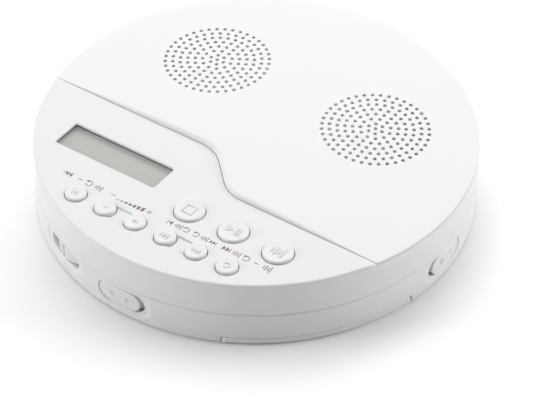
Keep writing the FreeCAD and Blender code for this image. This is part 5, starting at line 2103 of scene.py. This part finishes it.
@dataclass
class BaseShell(SubAssembly):
    """The base's moulding: wall with slots and dishes, foot, floor, hinge barrels and battery bay walls."""

    door_half: float = 34.35
    door_inner: float = 38.8
    door_lip: float = 3.3
    door_edge: float = 0.15
    lip_drop: float = 2.0
    door_depth: float = 1.2
    floor_lap: Tuple[float, float] = (3.5, 3.0)
    edge: float = 0.2
    slot_edge: float = 0.3
    socket_angles: Tuple[float, float] = (-90.0, -118.0)
    wall_rows: Tuple[float, ...] = (3.6, 5.6, 8.0, 10.4, 12.4)
    hinge_foot: float = 9.0
    barrels: Tuple[Tuple[float, float], ...] = ((-21.0, -14.0), (14.0, 21.0))
    screw_ring: float = 66.0
    screw_angles: Tuple[float, ...] = (30.0, 140.0, 205.0, 283.0)
    screw_r: float = 2.2
    screw_z: float = 1.5
    screw_depth: float = 1.0
    bay_half: float = 27.95
    bay_wall: float = 1.2
    bay_near: float = -42.9
    bay_far: float = -72.1
    bay_corner: float = 6.0
    bay_z: Tuple[float, float] = (1.75, 16.1)
    draft: Draft = field(default_factory=Draft)

    def __post_init__(self) -> None:
        """Works out what several methods share."""
        self.slots = slots(self.layout)
        self.thick = self.layout.body_r - self.layout.inner_r
        self.end = self.layout.hinge_start(self.layout.body_r)
        self.door = Bearing(self.layout.door_angle)

    def build(self) -> None:
        """Builds the base shell."""
        self.wall()
        self.lining()
        self.top_edge()
        self.bottom()
        hinge = HingeZone(self.draft, self.layout, False)
        hinge.wall(self.hinge_foot)
        for x0, x1 in self.barrels:
            hinge.barrel(x0, x1)
        self.bay()
        shell = self.draft.build("base_shell", "base", "casing")
        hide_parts("lower_shell")
        self.keep(shell, "casing")

    def around(self, u: float, v: float, d: float) -> Point:
        """Warp onto the round wall, with its dishes.

        Args:
            u: Place along the wall from the front.
            v: Height.
            d: Depth into the wall.

        Returns:
            The point.
        """
        sink = sum(slot.sink(u, v) for slot in self.slots)
        return wrapped(self.layout, self.layout.body_r)(u, v, sink + d)

    def door_ends(self) -> Tuple[float, float]:
        """Angles from the front at which the door meets the wall's face.

        Returns:
            First and last angle.
        """
        half = math.degrees(math.asin(self.door_half / self.layout.body_r))
        return self.door.angle - half, self.door.angle + half

    def wall(self) -> None:
        """Adds the outer wall."""
        lay = self.layout
        low, high = lay.foot_stand + lay.edge_r, lay.base_top_z - lay.base_shoulder
        d0, d1 = self.door_ends()
        outline: List[Plan] = []
        drops: List[float] = []
        for angles, z, drop in ((fan(-self.end, d0), low, 0.0), (fan(d0, d1), self.door_lip, self.lip_drop),
                                (fan(d1, self.end), low, 0.0), (fan(-self.end, self.end)[::-1], high, 0.0)):
            outline += [(lay.along_wall(a), z) for a in angles]
            drops += [drop] * len(angles)
        fillets = [self.door_edge if drop > 0 else 0.0 for drop in drops]
        holes = [Edge(slot.outline(), self.slot_edge, self.thick - slot.depth) for slot in self.slots]
        holes += [Edge(points, self.edge, self.thick) for points in self.socket_holes()]
        grid = [(lay.along_wall(a), z) for a in fan(-self.end, self.end) for z in self.wall_rows]
        for slot in self.slots:
            grid += slot.dish_lines()
        reach = lay.along_wall(self.end) - 0.5
        grid = [(u, z) for u, z in grid if low + 0.4 < z < high - 0.1 and abs(u) < reach]
        Sheet(self.draft, self.around, Edge(outline, fillets=fillets, drops=drops, rings=2), holes).make(grid)

    def socket_holes(self) -> List[List[Plan]]:
        """Outlines of the headphone and power openings.

        Returns:
            Both outlines, along the wall and up.
        """
        jack, power = (self.layout.along_wall(angle) for angle in self.socket_angles)
        return [circle(jack, 7.6, 3.2, 32), rounded_box(power, 6.0, 8.0, 3.2, 0.6)]

    def lining(self) -> None:
        """Adds the wall's inner face, open where the outer face is."""
        lay = self.layout
        places = [lay.along_wall(a) for a in fan(-self.end, self.end)]
        outline = [(u, lay.floor_z) for u in places] + [(u, lay.base_top_z) for u in places[::-1]]
        openings = [slot.outline() for slot in self.slots] + self.socket_holes()
        grid = [(u, z) for u in places[1:-1] for z in (4.5, 8.0, 11.5)]
        outer, *holes = (Edge(points, 0.0, 0.0, rings=1) for points in [outline] + openings)
        Sheet(self.draft, wrapped(lay, lay.inner_r, -1.0), outer, holes).make(grid)

    def top_edge(self) -> None:
        """Adds the rounded top edge."""
        lay = self.layout
        r, inner, top, e = lay.body_r, lay.inner_r, lay.base_top_z, lay.base_shoulder
        parts = [bend(r - e, top - e, e, 0, 90), straight(r - e, top, inner, top)]
        lathe(self.draft, parts, angles=fan(-self.end, self.end))
        foot = straight(r, lay.foot_stand + lay.edge_r, r, self.hinge_foot)
        lathe(self.draft, [foot], angles=fan(self.end, 360 - self.end))

    def bottom(self) -> None:
        """Adds the rounded foot, the underside and the floor inside."""
        lay, half, inner = self.layout, self.door_half, self.door_inner
        d0, d1 = self.door_ends()
        rim = arc(0, 0, lay.body_r, d1 - 90, d0 + 270, 200)
        count = len(rim) - 2
        fillets = [self.door_edge] + [lay.edge_r] * count + [self.door_edge] * 3
        drops = [self.door_depth] + [lay.edge_r + WELD] * count + [self.door_depth] * 3
        outline = rim + [self.door.at(-half, inner), self.door.at(half, inner)]
        outer = Edge(outline, fillets=fillets, drops=drops, rings=4)
        heads = [on_circle(self.screw_ring, a) for a in self.screw_angles]
        holes = [Edge(circle(x, y, self.screw_r, 24), self.edge, self.screw_depth) for x, y in heads]
        Sheet(self.draft, underside(lay.foot_stand), outer, holes).make()
        for x, y in heads:
            bottom = [Node(self.screw_r, self.screw_z, 0, -1), Node(0.0, self.screw_z, 0, -1)]
            lathe(self.draft, [bottom], Axis((x, y, 0.0)), steps=24)
        floor = arc(0, 0, lay.inner_r, d1 - 90, d0 + 270, 120)
        aside, out = self.floor_lap
        floor += [self.door.at(aside - half, inner + out), self.door.at(half - aside, inner + out)]
        Sheet(self.draft, plane(lay.floor_z), Edge(floor, 0.0, 0.0, rings=1)).make()

    def bay(self) -> None:
        """Adds the walls of the battery bay."""
        half, wall, near, far = self.bay_half, self.bay_wall, self.bay_near, self.bay_far
        short = half - self.bay_corner
        walls = ((-half - wall, half + wall, near, near + wall), (-half - wall, -half, far, near),
                 (half, half + wall, far, near), (-short, short, far - wall, far))
        for x0, x1, y0, y1 in walls:
            box(self.draft, x0, x1, y0, y1, *self.bay_z, self.door_edge, self.door.turn)


@dataclass
class BatteryDoor(SubAssembly):
    """The sliding door under the battery bay, which takes the foot of the wall with it."""

    half: float = 33.9
    inner: float = 39.0
    lip: float = 3.2
    lip_edge: float = 0.35
    lip_lap: float = 0.2
    edge: float = 0.12
    edge_depth: float = 1.2
    top_z: float = 1.7
    ribs: int = 5
    rib_from: float = 60.0
    rib_pitch: float = 1.8
    rib_half: float = 8.0
    rib_width: float = 0.8
    rib_z: float = 0.25

    def build(self) -> None:
        """Builds the door."""
        lay = self.layout
        middle = Bearing(lay.door_angle)
        reach = math.degrees(math.asin(self.half / lay.body_r))
        rim = arc(0, 0, lay.body_r, middle.angle - 90 - reach, middle.angle - 90 + reach, 48)
        corners = [middle.at(self.half, self.inner), middle.at(-self.half, self.inner)]
        sides = densify([rim[-1], *corners, rim[0]], 4.0, closed=False)[1:-1]
        fillets = [self.edge] + [lay.edge_r] * (len(rim) - 2) + [self.edge] * (len(sides) + 1)
        drops = [self.lip - self.lip_edge - lay.foot_stand] * len(rim) + [self.edge_depth] * len(sides)
        draft = Draft()
        outer = Edge(rim + sides, fillets=fillets, drops=drops, rings=5)
        Sheet(draft, underside(lay.foot_stand), outer).make()
        Sheet(draft, plane(self.top_z), Edge(rim + sides, 0.0, 0.0, rings=1)).make()
        r, e, inner = lay.body_r, self.lip_edge, lay.inner_r + self.lip_lap
        lip = [bend(r - e, self.lip - e, e, 0, 90, 3), straight(r - e, self.lip, inner, self.lip),
               straight(inner, self.lip, inner, self.top_z)]
        lathe(draft, lip, angles=fan(middle.angle - reach, middle.angle + reach))
        self.grip(draft, middle)
        door = draft.build("battery_cover", "battery_door", "casing")
        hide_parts("battery_door")
        self.keep(door, "casing")

    def grip(self, draft: Draft, middle: Bearing) -> None:
        """Adds the thumb ribs on the underside.

        Args:
            draft: Draft that takes the faces.
            middle: Direction in which the door slides.
        """
        for i in range(self.ribs):
            out = self.rib_from + self.rib_pitch * i
            ends = [middle.at(across, out) for across in (-self.rib_half, self.rib_half)]
            rib = stroke(ends, self.rib_width)
            Sheet(draft, underside(self.rib_z), Edge(rib, 0.1, self.rib_z, rings=2)).make()


@dataclass
class SideControls(SubAssembly):
    """Open slider, hold slider and volume wheel in the base wall."""

    sink: float = 0.22
    shift: float = 2.0
    button: Tuple[float, float] = (18.1, 7.7)
    button_edge: float = 0.45
    flange: Tuple[float, float] = (20.5, 10.1)
    flange_play: float = 0.6
    sign_shift: float = 3.0
    sign_size: float = 1.3
    relief: float = 0.1
    wheel_r: float = 12.0
    wheel_half: float = 2.6
    wheel_bore_r: float = 1.55
    flutes: int = 30
    flute_group: int = 10
    flute_steps: int = 10
    flute_depth: float = 1.4
    flute_middle: float = 0.7
    flute_half: float = 0.29

    def build(self) -> None:
        """Builds the controls."""
        hold = self.layout.along_wall(self.layout.hold_angle)
        self.slider("open_button", "open_slider", -self.shift, "eject", "right")
        self.slider("hold_button", "hold_slider", hold + self.shift, "lock", "left")
        self.wheel()

    def slider(self, name: str, body: str, u: float, sign: str, way: str) -> None:
        """Builds one slider with its flange.

        Args:
            name: Name of the piece.
            body: CAD body and node.
            u: Its middle along the wall.
            sign: Pictogram on its face.
            way: Arrow beside it, in the direction of the push.
        """
        lay = self.layout
        draft = Draft()
        face, z = lay.body_r - self.sink, lay.slot_z
        grid = [(u + 1.5 * i, z + dz) for i in range(-4, 5) for dz in (-1.5, 0.0, 1.5)]
        button = Edge(stadium(u, z, *self.button), self.button_edge, 2.6, rings=4)
        Sheet(draft, wrapped(lay, face), button).make(grid)
        flange = Edge(stadium(u, z, *self.flange), 0.1, 1.6, rings=1)
        Sheet(draft, wrapped(lay, lay.inner_r - self.flange_play), flange).make(grid)
        draft.zone = 1
        for icon, shift in ((sign, -self.sign_shift), (way, self.sign_shift)):
            for outline in Pictograms.place(icon, u + shift, z, self.sign_size):
                Sheet(draft, wrapped(lay, face + self.relief), Edge(outline, 0.05, 0.12, rings=2)).make()
        piece = draft.build(name, body, "keys")
        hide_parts(body)
        # The signs take the relief finish, whose grey is painted shade.
        self.keep(piece, "keys", "relief")

    def wheel(self) -> None:
        """Builds the volume wheel, whose flutes come in pairs."""
        lay, r, half = self.layout, self.wheel_r, self.wheel_half
        cx, cy = on_circle(lay.body_r - self.sink - r, lay.wheel_angle - 90)
        steps = self.flutes * self.flute_steps
        outline = []
        for i in range(steps):
            flute, share = divmod(i / self.flute_steps, 1.0)
            paired = int(flute) % self.flute_group in (0, self.flute_group - 1)
            away = abs(share - self.flute_middle) / self.flute_half
            dip = self.flute_depth * smooth_step(1 - away) if paired else 0.0
            outline.append(on_circle(r - dip, 360 * i / steps, cx, cy))
        draft = Draft()
        for face in (plane(lay.wheel_z + half), underside(lay.wheel_z - half)):
            bore = Edge(circle(cx, cy, self.wheel_bore_r, 24), 0.1, half, rings=1)
            Sheet(draft, face, Edge(outline, 0.25, half, rings=3), [bore]).make()
        wheel = draft.build("volume_thumbwheel", "volume_wheel", "keys")
        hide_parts("volume_wheel")
        self.keep(wheel, "keys")


# ---- Inside ----
@dataclass
class Drive(SubAssembly):
    """Fine pieces inside: the lead screw's thread, and black sheets of painted shade in the cross recess of
    each of the lid's screws.
    """

    thread_from: float = 15.0
    thread_end: float = 4.0
    thread_pitch: float = 2.0
    thread_r: float = 0.16
    thread_steps: int = 16
    screw_ring: float = 74.3
    screw_angles: Tuple[float, ...] = (-20.0, 20.0, 60.0, 120.0, 160.0, 200.0)
    cross: Tuple[float, float] = (2.4, 0.4)
    cross_lift: float = 0.02

    def build(self) -> None:
        """Builds the fine pieces."""
        self.thread()
        self.recesses()

    def thread(self) -> None:
        """Builds the rounded thread of the lead screw."""
        low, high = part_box("lead_screw")
        mid = (low + high) / 2 / MM
        r = (high.x - low.x) / 2 / MM
        turns = (high.y / MM - self.thread_end - self.thread_from) / self.thread_pitch
        curve = bpy.data.curves.new("lead_screw_thread", "CURVE")
        curve.dimensions = "3D"
        curve.bevel_depth = self.thread_r * MM
        curve.bevel_resolution = 2
        spline = curve.splines.new("POLY")
        count = int(turns * self.thread_steps) + 1
        spline.points.add(count - 1)
        for i in range(count):
            turn = i / self.thread_steps
            x, z = on_circle(r, 360 * turn, mid.x, mid.z)
            spline.points[i].co = (x * MM, (self.thread_from + self.thread_pitch * turn) * MM, z * MM, 1.0)
        spare = bpy.data.objects.new("lead_screw_thread_line", curve)
        mesh = bpy.data.meshes.new_from_object(spare)
        bpy.data.objects.remove(spare)
        piece = bpy.data.objects.new("lead_screw_thread", mesh)
        bpy.context.scene.collection.objects.link(piece)
        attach(piece, "lead_screw")
        self.keep(piece, "steel")
        log.info("built lead_screw_thread: %d turns", int(turns))

    def recesses(self) -> None:
        """Builds black sheets of painted shade in the cross recess of each of the lid's screws, whose heads
        face down.
        """
        low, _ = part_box("lid_screws")
        face = underside(low.z / MM - self.cross_lift)
        draft = Draft()
        for angle in self.screw_angles:
            x, y = on_circle(self.screw_ring, angle)
            for w, d in (self.cross, self.cross[::-1]):
                Sheet(draft, face, Edge(rectangle(x, y, w, d), 0.0, self.cross_lift, rings=1)).make()
        # Painted shade: black crosses just below the screw heads stand in for the shade inside each recess.
        self.keep(draft.build("lid_screws_recess", "lid"), "black_plastic")


@dataclass
class CadPieces(SubAssembly):
    """CAD nodes that are shown as they are, each with the finish of its material slot or its own."""

    own_finish: Dict[str, str] = field(default_factory=lambda: {"display_module": "display_frame"})

    def build(self) -> None:
        """Finds the finish of each shown node."""
        slot_of = {s["node"]: s["material_slot"] for s in self.frame["record"]["subparts"]}
        for name, node in sorted(self.frame["nodes"].items()):
            if node.hide_render:
                continue
            finish = self.own_finish.get(name, slot_of.get(name, "casing"))
            self.keep(node, finish)
            log.info("kept CAD node %s with finish %s", name, finish)


# ---- Studio ----
@dataclass(frozen=True)
class Lamp:
    """A soft area lamp aimed at the player."""

    name: str
    azimuth: float
    elevation: float
    distance: float
    width: float
    height: float
    power: float

    def make(self, aim: Vector) -> bpy.types.Object:
        """Makes the lamp.

        Args:
            aim: Point it faces.

        Returns:
            The lamp object.
        """
        light = bpy.data.lights.new(self.name, "AREA")
        light.shape = "RECTANGLE"
        light.size, light.size_y = self.width, self.height
        light.energy = self.power
        a, e = math.radians(self.azimuth), math.radians(self.elevation)
        way = Vector((math.sin(a) * math.cos(e), -math.cos(a) * math.cos(e), math.sin(e)))
        lamp = bpy.data.objects.new(self.name, light)
        lamp.location = aim + way * self.distance
        lamp.rotation_euler = way.to_track_quat("Z", "Y").to_euler()
        bpy.context.scene.collection.objects.link(lamp)
        return lamp


@dataclass
class Studio:
    """White sweep, soft lamps, surroundings and camera, in metres and degrees.

    The floor's lift is how much it glows where the background shows, so that it turns white. It grows with
    the distance from the player's middle, from little under the player to white far away.
    """

    floor_tone: float = 0.95
    floor_r: float = 6.0
    floor_grid: float = 0.6
    contact_lift: float = 0.02
    floor_lift: float = 0.18
    near_span: Tuple[float, float] = (0.074, 0.1)
    far_span: Tuple[float, float] = (0.3, 1.5)
    sky: float = 0.165
    lamps: Tuple[Lamp, ...] = (
        Lamp("top_soft", -95.0, 63.0, 1.2, 1.0, 1.0, 5.55),
        Lamp("back_soft", -160.0, 45.0, 1.3, 1.0, 0.8, 5.95),
        Lamp("right_side", 127.0, 25.0, 1.3, 0.8, 0.6, 8.9),
        Lamp("left_side", -48.0, 18.0, 1.3, 0.5, 0.5, 7.0),
    )
    lamp_aim: Point = (0.0, 0.0, 0.015)
    lens: float = 143.5
    sensor: float = 36.0
    clip: Tuple[float, float] = (0.05, 50.0)
    camera_spot: Point = (0.3523, -0.5025, 0.5418)
    camera_aim: Point = (0.02273, -0.01799, 0.015)
    camera_roll: float = 0.457

    def build(self) -> None:
        """Builds the studio."""
        self.floor()
        self.world()
        for lamp in self.lamps:
            lamp.make(Vector(self.lamp_aim))
        self.camera()
        view = bpy.context.scene.view_settings
        view.view_transform = "Standard"
        log.info("studio ready with %d lamps", len(self.lamps))

    @staticmethod
    def seen(wires: Wiring) -> bpy.types.NodeSocket:
        """Mask of the rays that show the background: from the camera, off a mirror or through glass.

        Args:
            wires: Wiring of the material or world.

        Returns:
            The mask's socket.
        """
        rays = wires.add("ShaderNodeLightPath").outputs
        direct = wires.math("MAXIMUM", rays["Is Camera Ray"], rays["Is Glossy Ray"])
        return wires.math("MAXIMUM", direct, rays["Is Transmission Ray"])

    def floor(self) -> None:
        """Makes the table top."""
        draft = Draft()
        reach, pitch = self.floor_r / MM, self.floor_grid / MM
        grid = grid_points(-reach / 2, reach / 2, -reach / 2, reach / 2, pitch)
        Sheet(draft, plane(0.0), Edge(circle(0.0, 0.0, reach, 64), 0.0, 0.0, rings=1)).make(grid)
        mesh = draft.mesh("table_top")
        piece = bpy.data.objects.new("table_top", mesh)
        bpy.context.scene.collection.objects.link(piece)
        mesh.materials.append(self.sweep())

    def sweep(self) -> bpy.types.Material:
        """Makes the floor's material.

        Returns:
            The material.
        """
        material = bpy.data.materials.new("white_sweep")
        material.use_nodes = True
        material.node_tree.nodes.clear()
        wires = Wiring(material.node_tree)
        mottle = wires.noise(3.0, 2.0)
        tone = wires.ramp(mottle, (0.0, 1.0), (self.floor_tone * 0.998, self.floor_tone))
        shade = wires.add("ShaderNodeBsdfDiffuse", {"Color": tone})
        away = wires.add("ShaderNodeVectorMath", {0: wires.place()}, operation="LENGTH").outputs["Value"]
        lifts = (self.contact_lift, self.floor_lift)
        near = wires.ramp(away, self.near_span, lifts, interpolation_type="SMOOTHSTEP")
        level = wires.math("MAXIMUM", near, wires.ramp(away, self.far_span))
        glow = wires.add("ShaderNodeEmission", {"Strength": wires.math("MULTIPLY", self.seen(wires), level)})
        both = wires.add("ShaderNodeAddShader", {0: shade.outputs[0], 1: glow.outputs[0]})
        wires.add("ShaderNodeOutputMaterial", {"Surface": both.outputs[0]})
        return material

    def world(self) -> None:
        """Makes the soft surroundings, which look white to the camera and in mirrors."""
        world = bpy.data.worlds.new("surroundings")
        world.use_nodes = True
        world.node_tree.nodes.clear()
        wires = Wiring(world.node_tree)
        level = wires.ramp(self.seen(wires), (0.0, 1.0), (self.sky, 1.0))
        back = wires.add("ShaderNodeBackground", {"Color": WHITE_LIGHT, "Strength": level})
        wires.add("ShaderNodeOutputWorld", {"Surface": back.outputs[0]})
        bpy.context.scene.world = world

    def camera(self) -> None:
        """Makes the camera, above and in front of the player's right."""
        data = bpy.data.cameras.new("camera")
        data.lens, data.sensor_width = self.lens, self.sensor
        data.clip_start, data.clip_end = self.clip
        cam = bpy.data.objects.new("camera", data)
        bpy.context.scene.collection.objects.link(cam)
        spot, aim = Vector(self.camera_spot), Vector(self.camera_aim)
        turn = (spot - aim).to_track_quat("Z", "Y").to_matrix().to_4x4()
        roll = Matrix.Rotation(math.radians(self.camera_roll), 4, "Z")
        cam.matrix_world = Matrix.Translation(spot) @ turn @ roll
        bpy.context.scene.camera = cam


def main() -> None:
    """Builds the whole scene round the frame."""
    logging.basicConfig(level=logging.INFO, format="%(name)s: %(message)s")
    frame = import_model()
    palette = Palette()
    kinds = (LidShell, SpeakerPanel, Keypad, BaseShell, BatteryDoor, SideControls, Drive, CadPieces)
    for kind in kinds:
        group = kind(frame, palette)
        group.build()
        group.dress()
    Studio().build()


if __name__ == "__main__":
    main()
